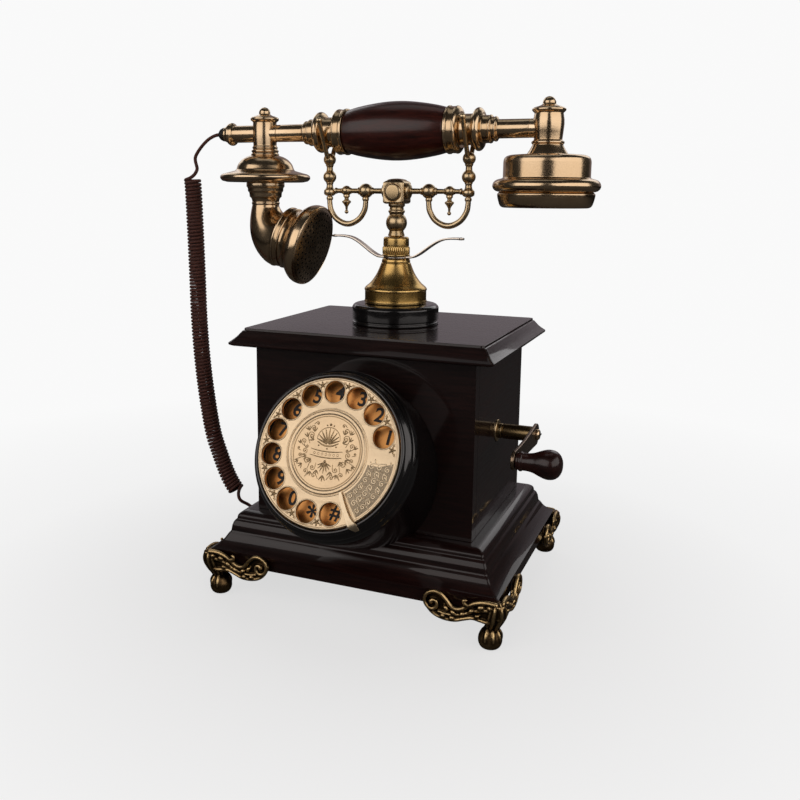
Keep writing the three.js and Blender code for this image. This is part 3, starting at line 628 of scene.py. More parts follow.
me.from_pydata([tuple((v + np.array([OX, OY, 0])) / 1000) for v in V], [], F)
uv = me.uv_layers.new(name="along")
for poly in me.polygons:
    for li, vi in zip(poly.loop_indices, poly.vertices):
        i, k = divmod(vi, sides)
        kk = k if not (k == 0 and any(v % sides == sides - 1 for v in poly.vertices)) else sides
        uv.data[li].uv = (cs[i], kk / sides)
for p in me.polygons:
    p.use_smooth = True
me.materials.append(FABRIC)
curly = bpy.data.objects.new("curly_cord", me)
bpy.context.scene.collection.objects.link(curly)
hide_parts("cord_lead", "cord_coil")

# plug body with a ribbed boot
pz = 28.2
plug_body = loft([[(x, y * 1.0, z) for x, y, z in [(xx, yy, pz + zz) for yy, zz in ((-3.2 + c, -2.7), (3.2 - c, -2.7), (3.2, -2.7 + c), (3.2, 2.7 - c), (3.2 - c, 2.7), (-3.2 + c, 2.7), (-3.2, 2.7 - c), (-3.2, -2.7 + c))]]
                  for xx, c in ((-108.0, 1.2), (-107.4, 0.7), (-100, 0.6), (-99.4, 0.9), (-98.8, 0.6), (-89.5, 0.6))])
boot = lx(rnd([(0, -7.6), (1.7, -7.6), (1.9, -7.2)] + [q for k in range(4) for q in ((2.05 + 0.12 * k, -6.6 + 1.5 * k), (2.05 + 0.12 * k, -6.0 + 1.5 * k), (1.75 + 0.12 * k, -5.8 + 1.5 * k), (1.75 + 0.12 * k, -5.3 + 1.5 * k))] + [(2.6, 0.2), (0, 0.6)], 0.15, 2), 20)
boot = apply(boot, Matrix.Translation((-108.4, 0, pz)) @ Matrix.Rotation(rad(14), 4, "Y"))
plug = make("plug_and_boot", merge(plug_body, boot), RUBBER, "base", ["cord_plug"])
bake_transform(curly)

# ------------------------------------------------------------------- the box
LID = [(12.6, 168.9), (14.0, 169.7), (14.0, 171.0), (9.8, 175.0), (8.3, 176.6), (7.0, 178.4), (6.2, 178.7), (6.2, 180.1)]
PLINTH = [(22.5, 22.5), (22.5, 30.3), (23.7, 30.5), (23.7, 32.2), (22.4, 33.0), (20.2, 34.4), (17.8, 36.6), (16.0, 39.2), (14.8, 41.4), (14.0, 42.2), (13.5, 46.2), (12.4, 49.0), (11.1, 50.3),
          (11.0, 51.4), (10.2, 52.8), (8.4, 54.4), (5.8, 55.4)]


def rect_ring(prof, closed, cr=1.6, nc=4):
    rings = []
    for e, z in prof:
        w, d = BODY_W + e, BODY_D + e
        ring_ = []
        for qx, qy, a0 in ((-1, -1, 180), (1, -1, 270), (1, 1, 0), (-1, 1, 90)):
            for k in range(nc + 1):
                t = rad(a0 + 90 * k / nc)
                ring_.append((qx * (w - cr) + cr * math.cos(t), qy * (d - cr) + cr * math.sin(t), z))
        rings.append(ring_)
    V, F = loft(rings, caps=(False, False))
    n, m = len(rings), len(rings[0])
    if closed:
        F += [((n - 1) * m + k, (n - 1) * m + (k + 1) % m, (k + 1) % m, k) for k in range(m)]
        return V, F
    return V, F + [tuple(reversed(range(m))), tuple(range((n - 1) * m, n * m))]


def sides_of(part, mat_x, mat_y, o):
    """Second material on the faces that look along X."""
    for p in o.data.polygons:
        p.material_index = 1 if abs(p.normal.x) > abs(p.normal.y) and abs(p.normal.z) < 0.995 else 0


lid_prof = rnd([(12.2, 168.9)] + LID[1:3], 0.5, 3) [:-1] + smooth_profile([(14.0, 171.0), (12.3, 172.4), (10.2, 174.4), (8.4, 176.7), (7.2, 178.3)], 4) + rnd([(7.2, 178.3), (6.3, 178.6), (6.2, 180.1), (0, 180.1)], 0.35, 3)[1:-1]
lid = rect_ring([(e, z) for e, z in lid_prof] + [(5.4, 180.1)], False, 2.6, 6)
o = make("lid", lid, WOOD_X, "base", ["lid_board"], sharp=28, mats=[WOOD_Y])
sides_of(lid, None, None, o)
pl = [(-10, 22.5)] + rnd(PLINTH[:4], 0.5, 3, min_angle=5) + [tuple(q) for q in smooth_profile([(23.7, 32.2), (22.0, 33.2), (19.6, 35.0), (17.2, 37.6), (15.5, 40.4), (14.3, 41.9)], 4)[1:]] + \
    rnd([(14.3, 41.9), (14.0, 42.6), (13.6, 45.8), (12.5, 48.8), (11.0, 50.2), (10.9, 51.4)], 0.8, 3)[1:-1] + [tuple(q) for q in smooth_profile([(10.9, 51.4), (10.4, 52.9), (8.6, 54.5), (5.8, 55.4), (3.0, 55.5)], 4)] + [(-10, 55.5)]
o = make("plinth_moulding", rect_ring(pl, True), WOOD_X, "base", ["plinth_front", "plinth_back", "plinth_left", "plinth_right"], sharp=28, mats=[WOOD_Y])
sides_of(None, None, None, o)


def dress(node, mat, bevel=0.0004):
    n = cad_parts[node]
    n.data.materials.clear()
    n.data.materials.append(mat)
    if bevel:
        b = n.modifiers.new("edge", "BEVEL")
        b.width = bevel
        b.segments = 3
        b.limit_method = "ANGLE"
        b.angle_limit = rad(40)
        b.harden_normals = True
    for p in n.data.polygons:
        p.use_smooth = True
    n.data.set_sharp_from_angle(angle=rad(30))


dress("front_panel", WOOD_X, 0.0005)
dress("back_panel", WOOD_X, 0.0005)
dress("left_panel", WOOD_Y, 0.0003)
dress("right_panel", WOOD_Y, 0.0003)
dress("bottom_plate", BOARD_WOOD)
dress("handset_jack", JACK, 0.0003)
dress("line_jack", JACK, 0.0004)
dress("circuit_board", PCB, 0.0002)
dress("hook_switch", JACK, 0.0003)
dress("ringer_gong", STEEL, 0)
dress("dial_mechanism", STEEL, 0.0004)

# --------------------------------------------------------------------- feet
WING_TOP = [(3, 30.6), (9, 31.0), (15, 29.6), (20, 26.6), (25, 24.0), (29.5, 24.6), (33, 28.4), (37, 32.0), (41.5, 32.6), (45.4, 30.2), (46.6, 26.0), (44.6, 22.4), (41.2, 21.6), (38.8, 23.8), (39.2, 26.6), (41.4, 27.4)]
WING_LOW = [(4, 19.6), (8, 18.9), (12, 19.3), (17, 19.9), (22, 18.4), (28, 16.4), (35, 16.4), (41, 18.4), (45.2, 22.4), (47.2, 27)]
WING_MID = [(3, 25.6), (9, 26.2), (15, 24.8), (20, 22.4), (26, 20.2), (32, 19.4), (38, 20.2)]
WING_OUT = [(-2, 30.2), (8, 30.4), (14, 29.8), (20, 27.0), (26, 23.8), (30, 24.4), (33.2, 28.4), (36.6, 31.6), (41, 32.8), (45.2, 31.0), (47.2, 27.2), (45.8, 22.0), (41.5, 18.2), (35, 16.1), (28, 15.8), (22, 17.8), (16, 19.6), (11, 19.0), (7, 18.8), (3, 20.2), (-2, 22.0)]


def wing_parts():
    """Pieces of one wing in (s, depth, z): s away from the corner, depth out of the fascia."""
    out = []
    base = flat_shape([WING_OUT[::-1]], 2.0, 0.4, 2)
    out.append((np.stack([base[0][:, 0], base[0][:, 2] + 1.5, base[0][:, 1]], 1), base[1]))

    def ridge(path, r0, r1, depth, per=5):
        q = smooth_profile([(s, 0, z) for s, z in path], per)
        n = len(q)
        d = [depth(i / (n - 1)) if callable(depth) else depth for i in range(n)]
        q = [np.array([p[0], dd, p[2]]) for p, dd in zip(q, d)]
        return tube(q, [r0 + (r1 - r0) * i / (n - 1) for i in range(n)], 10)
    out.append(ridge(WING_TOP, 1.5, 1.0, lambda t: 3.0 + 0.9 * t))
    out.append(ridge(WING_LOW, 1.3, 1.1, 2.8))
    out.append(ridge(WING_MID, 1.2, 0.6, 3.1))
    # centre of the curl
    V, F = lathe(ball(1.7, 0, 6), 12)
    out.append((V + np.array([42.2, 3.6, 26.2]), F))
    # leaf lobes along the wing
    for s, z, ang, ln, w in ((6, 28.3, 12, 5.0, 1.3), (12, 27.6, -14, 4.6, 1.2), (17.6, 24.4, -30, 4.2, 1.2), (23, 21.6, -22, 4.0, 1.1), (28.6, 21.4, 24, 4.0, 1.1), (33, 23.4, 50, 4.4, 1.2),
                            (14, 22.0, -8, 3.6, 1.0), (35.0, 18.2, 6, 3.4, 0.9), (29.5, 17.8, -4, 3.4, 0.9)):
        a = rad(ang)
        q = [np.array([s + t * ln * math.cos(a), 2.9 + 0.9 * (1 - (2 * abs(t)) ** 2), z + t * ln * math.sin(a)]) for t in np.linspace(-0.5, 0.5, 7)]
        out.append(tube(q, [w * (1 - 0.75 * (2 * abs(t)) ** 2) for t in np.linspace(-0.5, 0.5, 7)], 8))
    # small sprout curling up above the top edge
    q = smooth_profile([(17.0, 3.0, 27.0), (19.8, 3.6, 27.6), (22.2, 3.8, 29.0), (22.0, 3.8, 30.6), (20.6, 3.7, 30.6)], 5)
    out.append(tube(q, np.linspace(1.3, 0.7, len(q)), 8))
    return out


def foot_mesh():
    parts = []
    for V, F in wing_parts():
        # front wing: X = 3.5 - s, Y = depth
        A = np.stack([3.5 - V[:, 0], V[:, 1] + 1.0, V[:, 2]], 1)
        parts.append((A, F))
        B = np.stack([V[:, 1] + 1.0, 3.5 - V[:, 0], V[:, 2]], 1)
        parts.append((B, F))

    def flute(a, r, z):
        return 0.55 * math.cos(9 * a) * (1 if 9 < z < 31 else 0.25)
    rings = []
    for z, c, r in ((4.0, -3.6, 4.2), (8, -3.4, 4.6), (10.4, -3.3, 3.6), (13, -2.9, 3.3), (16, -2.0, 3.7), (19, -0.9, 4.3), (22, 0.0, 4.7), (25, 0.5, 4.7), (28, 0.7, 4.2), (30.4, 0.6, 3.2), (31.6, 0.5, 1.8)):
        ring = []
        for k in range(54):
            a = 2 * math.pi * k / 54
            rr = r + flute(a, r, z)
            ring.append((c + rr * math.cos(a), c * 0.9 + rr * math.sin(a), z))
        rings.append(ring)
    parts.append(loft(rings))
    # paw: flattened ball with toes
    V, F = lathe([(0, 0)] + [(r, z) for r, z in rnd([(3.2, 0), (6.0, 1.1), (7.4, 4.2), (7.2, 7.6), (5.6, 11.2), (3.6, 13.0)], 1.6, 4)] + [(0, 13.6)], 36)
    parts.append((V + np.array([-3.8, -2.9, 0]), F))
    for ang in (-20, 20, 60, 100, 45 + 180):
        a = rad(ang)
        q = [np.array([-3.8 + rr * math.cos(a), -2.9 + rr * math.sin(a), z]) for rr, z in ((3.2, 16.0), (3.6, 13.2), (5.2, 11.0), (6.5, 8.8), (6.9, 6.6))]
        q = smooth_profile(q, 4)
        parts.append(tube(q, [0.85 + 0.45 * math.sin(math.pi * i / (len(q) - 1)) for i in range(len(q))], 8))
    # knee leaves: long ridges from the corner down the leg
    for ang, w in ((-30, 0.9), (0, 1.1), (45, 1.3), (90, 1.1), (120, 0.9)):
        a = rad(ang)
        q = [np.array([c + rr * math.cos(a), 0.9 * c + rr * math.sin(a), z]) for c, rr, z in ((0.5, 3.3, 31.0), (0.7, 4.8, 27.6), (0.1, 5.2, 23.4), (-1.1, 4.7, 19), (-2.2, 4.0, 15.4), (-3.0, 3.8, 12.4))]
        q = smooth_profile(q, 5)
        n = len(q)
        parts.append(tube(q, [w * (0.7 + 0.6 * math.sin(math.pi * i / (n - 1))) for i in range(n)], 8))
    return merge(*parts)


V, F = foot_mesh()
me = bpy.data.meshes.new("foot_src")
me.from_pydata([tuple(v / 1000) for v in V], [], F)
me.validate()
src = bpy.data.objects.new("foot_src", me)
bpy.context.scene.collection.objects.link(src)
rm = src.modifiers.new("r", "REMESH")
rm.mode = "VOXEL"
rm.voxel_size = 0.00050
sm = src.modifiers.new("s", "SMOOTH")
sm.factor = 0.5
sm.iterations = 2
bake_modifiers(src)
fv = np.array([v.co for v in src.data.vertices], float) * 1000
ff = [tuple(p.vertices) for p in src.data.polygons]
bpy.data.objects.remove(src)
fv[:, 2] = np.maximum(fv[:, 2], 0.0)
# keep off the fascia and under its lip
inside = (fv[:, 0] < 0.4) & (fv[:, 1] < 0.4)
for axis in (0, 1):
    sel = inside & (fv[:, 2] > 22.0) & (fv[:, axis] > -2.2)
    other = 1 - axis
    sel &= fv[:, axis] >= fv[:, other]
    fv[sel, axis] = 0.4
for sx, sy, nm in ((-1, -1, "front_left"), (1, -1, "front_right"), (-1, 1, "back_left"), (1, 1, "back_right")):
    v = fv * np.array([sx, sy, 1]) + np.array([sx * 97.5, sy * 82.0, 0])
    f = ff if sx * sy > 0 else [tuple(reversed(g)) for g in ff]
    # gain 3.4 strengthens the painted shade in the feet's hollows and the painted highlight on their ridges
    o = make("scroll_foot_" + nm, (v, f), CAST, "base", ["foot_" + nm], sharp=180, gain=3.4, base=0.42, spread=3)

# --------------------------------------------------------------------- post
make("post_plate", lathe(rnd([(0, 180.3), (29.5, 180.3), (29.5, 181.9), (28.9, 182.2), (28.9, 183.0), (29.5, 183.4), (29.5, 191.6), (28.0, 193.3), (25.2, 193.9), (23.6, 193.7), (22.8, 193.9), (0, 193.9)], 0.7, 4, min_angle=6), 128), BLACK, "base", ["post_disc"], sharp=50)
bell = [(8.2, 194.1), (20.6, 194.1), (21.2, 194.6), (21.2, 196.0), (20.9, 196.4), (20.9, 202.6), (21.3, 203.0), (21.2, 204.0), (20.2, 205.2)] + \
       [tuple(q) for q in smooth_profile([(20.2, 205.2), (17.6, 207.4), (15.0, 210.6), (12.9, 214.0), (11.2, 217.8), (10.0, 221.0)], 5)[1:]] + \
       [(9.5, 221.6), (9.7, 222.3), (9.4, 223.4), (8.9, 224.2), (4.0, 224.2), (4.0, 222.6), (8.2, 222.6)]
make("bell_socket", lathe(rnd(bell, 0.35, 3, closed=True), 96, closed=True), GOLD, "base", ["bell_base"], sharp=40)


def knurl(a, r, z):
    return 0.32 * math.cos(40 * a) if (227.3 < z < 231.9 and r > 8.5) else 0


col = rnd([(4.0, 225.9), (9.3, 225.9), (9.4, 226.8), (8.9, 227.2)], 0.25, 2) + [(8.95, 227.6), (8.95, 229.5), (8.95, 231.5)] + rnd([(8.8, 232.1), (8.5, 232.5), (8.7, 233.0), (8.6, 237.4), (8.0, 238.6), (4.0, 238.6)], 0.35, 3)
make("fluted_collar", lathe(col, 320, closed=True, mod=knurl), GOLD, "base", ["knurled_collar"], sharp=60, gain=2.2)
half = [(0, 225.1), (5, 225.1), (10, 225.1), (13, 225.6), (17.5, 228.0), (22.5, 231.6), (27.5, 235.0), (32, 237.2), (36.5, 238.2), (42, 238.5), (47.6, 238.3)]
hp = smooth_profile([(x, 0, z) for x, z in half], 5)
full = [np.array([-p[0], 0, p[2]]) for p in hp[::-1]][:-1] + hp
wd = []
for p in full:
    x = abs(p[0])
    w = 6.6 - 1.2 * min(1, x / 30)
    if x > 44.6:
        w = max(0.9, 2 * math.sqrt(max(0.05, 2.7 ** 2 - (x - 44.9) ** 2)))
    wd.append(w)
strip = ribbon(full, [w * 1.1 for w in wd], 1.35)
dots = []
for s in (-1, 1):
    dots.append(shift(lathe(rnd([(0, -0.9), (1.5, -0.9), (1.5, 0.45), (0.9, 0.9), (0, 1.0)], 0.2, 2), 16), s * 45.4, 0, 238.4))
make("leaf_spring", merge(strip, *dots, lathe([(0, 224.7), (8.7, 224.7), (8.7, 225.5), (0, 225.5)], 40)), STRIP, "base", ["leaf_strip"], sharp=40)

# ------------------------------------------------------------------- cradle
post = [(0, 164.5), (3.0, 164.5), (3.4, 165.2), (3.4, 215.2), (6.6, 215.2), (6.6, 217.2), (3.4, 217.2), (3.4, 238.9), (5.4, 239.0), (5.7, 239.8), (5.2, 241.0)] + ball(7.1, 248.1, 14, -48, 48) + \
       [(4.9, 254.2), (5.6, 255.2), (5.6, 256.0), (4.9, 256.8), (4.6, 258.4), (5.4, 259.0), (5.7, 260.0), (5.4, 260.6), (0, 260.6)]
make("plunger_stem", lathe(rnd(post, 0.3, 3), 48), CRADLE, "cradle", ["cradle_post"], sharp=40)
dress("hook_spring", STEEL, 0)

zc = 268.1
h = 7.5


def sq(hh, z, c=1.4, n=4):
    pts = []
    for qx, qy, a0 in ((1, 1, 0), (-1, 1, 90), (-1, -1, 180), (1, -1, 270)):
        for k in range(n + 1):
            a = rad(a0 + 90 * k / n)
            pts.append((qx * (hh - c) + c * math.cos(a), qy * (hh - c) + c * math.sin(a), z))
    return pts


rows = [(h - 1.8, -7.5), (h - 0.9, -7.3), (h - 0.3, -6.8), (h, -6.1), (h, -5), (h, 0), (h, 5), (h, 6.1), (h - 0.3, 6.8), (h - 0.9, 7.3), (h - 1.7, 7.7), (h - 2.6, 8.5), (h - 4.4, 9.0), (h - 6.4, 9.2)]
block = loft([sq(a, zc + b, c=min(1.4, a * 0.6)) for a, b in rows])
boss = apply(lathe(rnd([(0, -8.9), (4.4, -8.75), (5.6, -8.2), (6.0, -7.4), (6.0, 7.4), (5.6, 8.2), (4.4, 8.75), (0, 8.9)], 0.6, 3, min_angle=5), 40), Matrix.Translation((0, 0, zc)) @ Matrix.Rotation(rad(90), 4, "X"))
fr = []
for s in (-1, 1):
    outer = [(-6.9, -6.4), (6.9, -6.4), (6.9, 6.4), (-6.9, 6.4)]
    g = flat_shape([outer, circle(0, 0, 6.2, 40, True)], 0.9, 0.2, 2)
    fr.append((np.stack([g[0][:, 0], g[0][:, 2] + s * 7.55, g[0][:, 1] + zc], 1), g[1]))
make("cradle_block", merge(block, boss, *fr), CRADLE, "cradle", ["cradle_head"], sharp=40, gain=2.2)

arm = [(0, 7.7), (5.2, 7.7), (5.3, 8.8), (4.2, 9.6), (2.6, 10.2), (1.9, 11.0), (1.8, 16.6), (2.2, 17.0), (2.4, 17.6), (2.3, 18.2)] + ball(4.95, 22.6, 14, -62, 62) + [(2.3, 27.1), (2.6, 27.5), (2.4, 28.0), (1.7, 28.3), (1.6, 33.0), (2.1, 33.6)] + \
      ball(3.5, 36.9, 10, -56, 56) + [(2.0, 40.2), (1.6, 40.8), (1.6, 43.6), (2.1, 44.4), (2.1, 45.3), (0, 45.3)]
pend = [(0, -15.6)] + ball(1.35, -14.2, 8, -80, 62) + [(0.75, -12.5), (0.95, -10.6), (2.1, -8.8), (3.0, -7.8), (3.1, -6.9), (1.8, -6.2), (1.4, -5.4), (1.5, -4.6), (2.3, -3.8), (2.1, -2.6), (0, -2.4)]
scroll_pts = [(49.6, 0, 265.3), (49.6, 0, 261), (48.7, 0, 256), (45.4, 0, 250.8), (40.6, 0, 247.6), (36.1, 0, 246.6), (31.6, 0, 247.6), (26.8, 0, 250.8), (23.5, 0, 256), (22.7, 0, 260.4), (22.6, 0, 265.0)]
fork = [(0, 265.5), (2.4, 265.5), (3.0, 265.9), (3.9, 266.6), (4.1, 268.0), (3.9, 269.4), (3.0, 270.3), (2.4, 271.2), (2.2, 272.4), (2.2, 273.6), (2.7, 274.2)] + ball(4.5, 278.3, 12, -56, 56) + [(2.7, 282.0), (2.2, 282.6), (2.1, 285.0), (2.7, 285.8)] + \
       ball(4.25, 290.0, 12, -50, 90)
for side, s in (("left", -1), ("right", 1)):
    a = merge(lx(rnd(arm, 0.25, 2), 40), shift(lathe(rnd(pend, 0.2, 2), 28), 36.9, 0, 0))
    a = shift(a, 0, 0, 269.0)
    if s < 0:
        a = mirror_x(a)
    make("cradle_arm_turned_" + side, a, CRADLE, "cradle", ["cradle_arm_" + side], gain=2.0)
    q = smooth_profile([(s * x, y, z) for x, y, z in scroll_pts], 6)
    n = len(q)
    ends = [shift(lathe(rnd([(0, -1.3), (1.9, -1.3), (2.3, -0.6), (2.3, 0.6), (1.9, 1.3), (0, 1.3)], 0.3, 2), 20), s * x, 0, z) for x, z in ((49.6, 263.9), (22.7, 263.6))]
    make("cradle_scroll_" + side, merge(tube(q, [1.7 + 0.3 * math.sin(math.pi * i / (n - 1)) for i in range(n)], 16), *ends), CRADLE, "cradle", ["scroll_" + side], sharp=50)
    parts = [shift(lathe(rnd(fork, 0.25, 2), 36), s * 49.6, 0, 0)]
    for f in (-1, 1):
        q = smooth_profile([(s * 49.6, f * y, z) for y, z in ((1.5, 290.4), (3.8, 291.6), (5.8, 294.8), (10.2, 302.4), (14.0, 309.0), (16.8, 314.0))], 5)
        parts.append(tube(q, np.linspace(1.65, 1.45, len(q)), 14))
        parts.append(shift(lathe(ball(2.1, 0, 10), 20), s * 49.6, f * 17.4, 315.0))
    make("cradle_fork_" + side, merge(*parts), CRADLE, "cradle", ["fork_" + side], gain=2.0)

# ------------------------------------------------------------------ handset
HS = Matrix.Translation((0, 0, HS_Z))
grip = [(0, -35.2), (13.6, -35.2), (14.3, -34.6)] + [tuple(q) for q in smooth_profile([(14.5, -34.0), (16.0, -28), (17.6, -19), (18.8, -9), (19.2, 0), (18.8, 9), (17.6, 19), (16.0, 28), (14.5, 34.0)], 5)] + [(14.3, 34.6), (13.6, 35.2), (0, 35.2)]
make("turned_grip", lx(grip, 96), GRIP, "handset", ["handset_grip"], space=HS)
ferrule = [(0, 35.35), (14.9, 35.35), (15.4, 35.8), (15.4, 36.8), (15.0, 37.3), (14.8, 38.2), (14.9, 41.0), (15.2, 41.5), (15.0, 42.3), (14.0, 43.2), (11.6, 44.1), (0, 44.1)]
stem = [(0, 44.2), (9.4, 44.2), (9.9, 45.0), (9.9, 51.8), (10.4, 52.8), (11.6, 53.1)] + ball(13.7, 0, 2, 0, 0)[:0] + [(12.9, 53.9), (13.6, 55.0), (13.7, 55.9), (13.3, 57.0), (12.2, 58.0), (10.6, 58.5), (9.2, 58.7), (8.8, 59.3), (8.7, 62.8), (9.0, 63.2), (8.9, 64.0), (8.0, 64.4), (7.6, 64.8), (7.6, 66.2), (7.9, 66.6), (7.8, 67.4),
        (6.6, 68.0), (6.0, 68.6), (5.95, 76), (5.9, 88.8), (0, 88.8)]
for side, s in (("left", -1), ("right", 1)):
    a, b = lx(rnd(ferrule, 0.3, 3), 80), lx(rnd(stem, 0.4, 3), 64)
    if s < 0:
        a, b = mirror_x(a), mirror_x(b)
    make("grip_ferrule_" + side, a, BRASS, "handset", ["ferrule_" + side], space=HS, gain=1.9)
    make("handset_stem_" + side, b, BRASS, "handset", ["handset_tube_" + side], space=HS, gain=1.9)
MX, EX = -100.2, 99.9
column = [(0, -15.0), (9.7, -15.0), (9.9, -14.2), (9.4, -13.6), (9.0, -13.0), (9.6, -12.4), (9.6, -11.6), (8.8, -11.0), (8.5, -10.4), (9.0, -9.8), (8.9, -9.2), (8.3, -8.6), (8.15, -8.0), (8.5, -3.5), (8.55, 2.5), (8.2, 7.6), (8.6, 8.2), (9.6, 8.9), (10.0, 9.8), (9.7, 10.8),
          (8.2, 11.5), (5.6, 12.3), (4.2, 13.0), (3.9, 13.6)] + ball(4.0, 14.1, 8, 5, 90)
cross = [(0, -132.2), (5.0, -132.2), (5.5, -131.2), (5.6, -129.8), (6.2, -129.2), (7.6, -128.2), (8.0, -127.0), (7.9, -125.8), (6.9, -124.8), (6.2, -124.2), (5.95, -123.4), (5.9, -110), (5.9, -89.0), (0, -89.0)]
make("mouthpiece_turned_column", merge(shift(lathe(rnd(column, 0.3, 3), 64), MX, 0, 0), lx(rnd(cross, 0.35, 3), 56)), BRASS, "handset", ["mouthpiece_column"], space=HS, gain=1.9)
saucer = [(0, -33.6), (26.6, -33.6), (30.2, -32.8), (31.6, -31.4), (31.9, -30.2), (31.4, -28.9), (29.8, -27.9), (27.0, -27.2), (23.4, -26.2), (21.2, -25.6), (20.4, -24.8), (20.1, -24.0)] + \
         [tuple(q) for q in smooth_profile([(20.1, -24.0), (18.8, -20.9), (16.2, -18.0), (13.0, -16.1), (10.2, -15.2)], 5)[1:]] + [(9.4, -14.8), (0, -14.8)]
make("mouthpiece_dish", shift(lathe(rnd(saucer, 0.5, 3, min_angle=7), 112), MX, 0, 0), BRASS, "handset", ["mouthpiece_saucer"], space=HS, gain=1.9)
TILT = 15.2
MC = np.array([-62.0, 0, 230.4 - HS_Z])
nrm = np.array([math.cos(rad(TILT)), 0, -math.sin(rad(TILT))])
upv = np.array([math.sin(rad(TILT)), 0, math.cos(rad(TILT))])
Yv = np.array([0, 1.0, 0])
SEG = 80


def ring(c, u, v, r):
    return [np.array(c) + r * (math.cos(2 * math.pi * k / SEG) * u + math.sin(2 * math.pi * k / SEG) * v) for k in range(SEG)]


def dring(cx, cz, tilt, r):
    t = rad(tilt)
    return ring((cx, 0, cz - HS_Z), Yv, np.array([math.sin(t), 0, math.cos(t)]), r)


horn = []
cone = rnd([(13.2, 274.6), (13.5, 274.0), (13.5, 271.6), (12.9, 271.0), (12.6, 270.4), (12.5, 268.4), (11.7, 267.6), (11.5, 266.8), (11.3, 264.4), (10.3, 263.6), (9.9, 262.8), (9.5, 261.0), (9.9, 260.4), (9.9, 259.4), (9.5, 258.8)], 0.25, 2)
for r, z in cone:
    horn.append(dring(MX, z, 90, r))
ctl = smooth_profile([(MX, 258.6, 90, 9.6), (MX - 0.2, 256.0, 84, 10.2), (-99.9, 250.4, 71, 12.1), (-98.2, 244.6, 56, 14.5), (-94.9, 239.4, 40, 16.9), (-90.6, 236.0, 26, 19.0), (-86.9, 235.0, 17.0, 20.4)], 7)
for cx, cz, t, r in ctl[1:]:
    horn.append(dring(cx, cz, t, r))
bellp = rnd([(20.9, -23.6), (21.6, -23.0), (21.6, -22.2), (21.2, -21.8), (21.2, -19.2), (21.7, -18.8), (21.6, -18.2), (20.9, -17.8)], 0.25, 2) + \
    [tuple(q) for q in smooth_profile([(20.9, -17.8), (21.4, -15.4), (23.0, -12.6), (25.2, -10.2), (27.2, -7.8), (28.3, -5.2), (28.5, -2.8), (28.4, -1.4), (28.1, -0.5), (27.7, -0.2)], 4)[1:]] + [(27.4, -0.4), (27.3, -0.9), (27.3, -2.6)]
for r, d in bellp:
    horn.append(ring(MC + nrm * d, Yv, upv, r))
make("mouthpiece_elbow_horn", loft(horn), BRASS, "handset", ["mouthpiece_horn"], space=HS, gain=1.5, sharp=42)
dome = lathe([(0, -2.6), (27.2, -2.6), (27.2, -0.5), (26.8, -0.1), (26.2, 0.0), (25.9, 0.25)] + [tuple(q) for q in smooth_profile([(25.4, 0.5), (21, 1.6), (15, 2.5), (8, 3.15), (3, 3.3)], 5)] + [(0, 3.32)], 96)
grille = make("perforated_cap", dome, metal("grille_brass", (0.03, 0.02, 0.012), (0.17, 0.115, 0.065), (0.50, 0.38, 0.25), rough=(0.28, 0.42), tint=0.5), None, sharp=40)
MG = HS @ Matrix.Translation(MC) @ Matrix.Rotation(rad(90 + TILT), 4, "Y")
hole_parts = []
for k in range(0, 7):
    n = max(1, 6 * k)
    for j in range(n):
        a = 2 * math.pi * (j + 0.25 * (k % 2)) / n
        rr = 3.95 * k
        hole_parts.append(shift(lathe([(0, -1.2), (0.80, -1.2), (0.86, 5.0), (0, 5.0)], 12), rr * math.cos(a), rr * math.sin(a), 0))
# the cutter's near-black material passes to the hole walls: painted shade inside the perforations
cutter = make("cutter", merge(*hole_parts), SHADE_BLACK, None)
bm_ = grille.modifiers.new("holes", "BOOLEAN")
bm_.operation = "DIFFERENCE"
bm_.solver = "EXACT"
bm_.object = cutter
try:
    bm_.material_mode = "TRANSFER"
except Exception:
    pass
bpy.context.view_layer.update()
bake_modifiers(grille)
bpy.data.objects.remove(cutter)
gv = np.array([v.co for v in grille.data.vertices], float) * 1000 - np.array([OX, OY, 0])
gv = (np.c_[gv, np.ones(len(gv))] @ np.array(MG).T)[:, :3]
gv = (gv + np.array([OX, OY, 0])) / 1000
grille.data.vertices.foreach_set("co", gv.astype(np.float32).ravel())
grille.data.update()
finish_mesh(grille, gain=1.2)
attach(grille, "handset")
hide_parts("mouthpiece_grille")
ear = [(0, -16.4), (12.9, -16.4), (12.4, -15.4), (11.2, -13.6), (10.2, -11.8), (9.6, -10.6), (9.4, -10.0), (10.0, -9.6), (10.2, -8.9), (10.0, -8.2), (9.0, -7.7), (8.7, -7.2), (9.2, -2.5), (9.6, 2), (9.5, 5), (8.9, 8.4), (8.9, 9.0), (9.6, 9.6), (10.4, 10.4), (10.4, 11.4),
       (9.0, 12.3), (6.0, 13.2), (4.4, 14.0), (4.0, 14.8)] + ball(4.1, 14.9, 8, 5, 84)
make("receiver_turned_column", merge(shift(lathe(rnd(ear, 0.35, 3), 64), EX, 0, 0), lx([(0, 88.9), (5.9, 88.9), (5.9, 98), (0, 98)], 48)), BRASS, "handset", ["receiver_column"], space=HS, gain=1.9)
cup = [(0, -39.2), (29.6, -39.2), (31.6, -38.6), (33.0, -37.2), (33.5, -35.6), (33.1, -33.8), (32.0, -32.4), (30.4, -31.5), (28.2, -31.0), (27.2, -30.6), (27.0, -30.0), (27.0, -20.6), (26.5, -18.6), (25.2, -17.3), (23.2, -16.6), (20.4, -16.4), (0, -16.2)]
make("receiver_body", shift(lathe(rnd(cup, 0.6, 4, min_angle=7), 120), EX, 0, 0), BRASS, "handset", ["receiver_cup"], space=HS, gain=1.7)
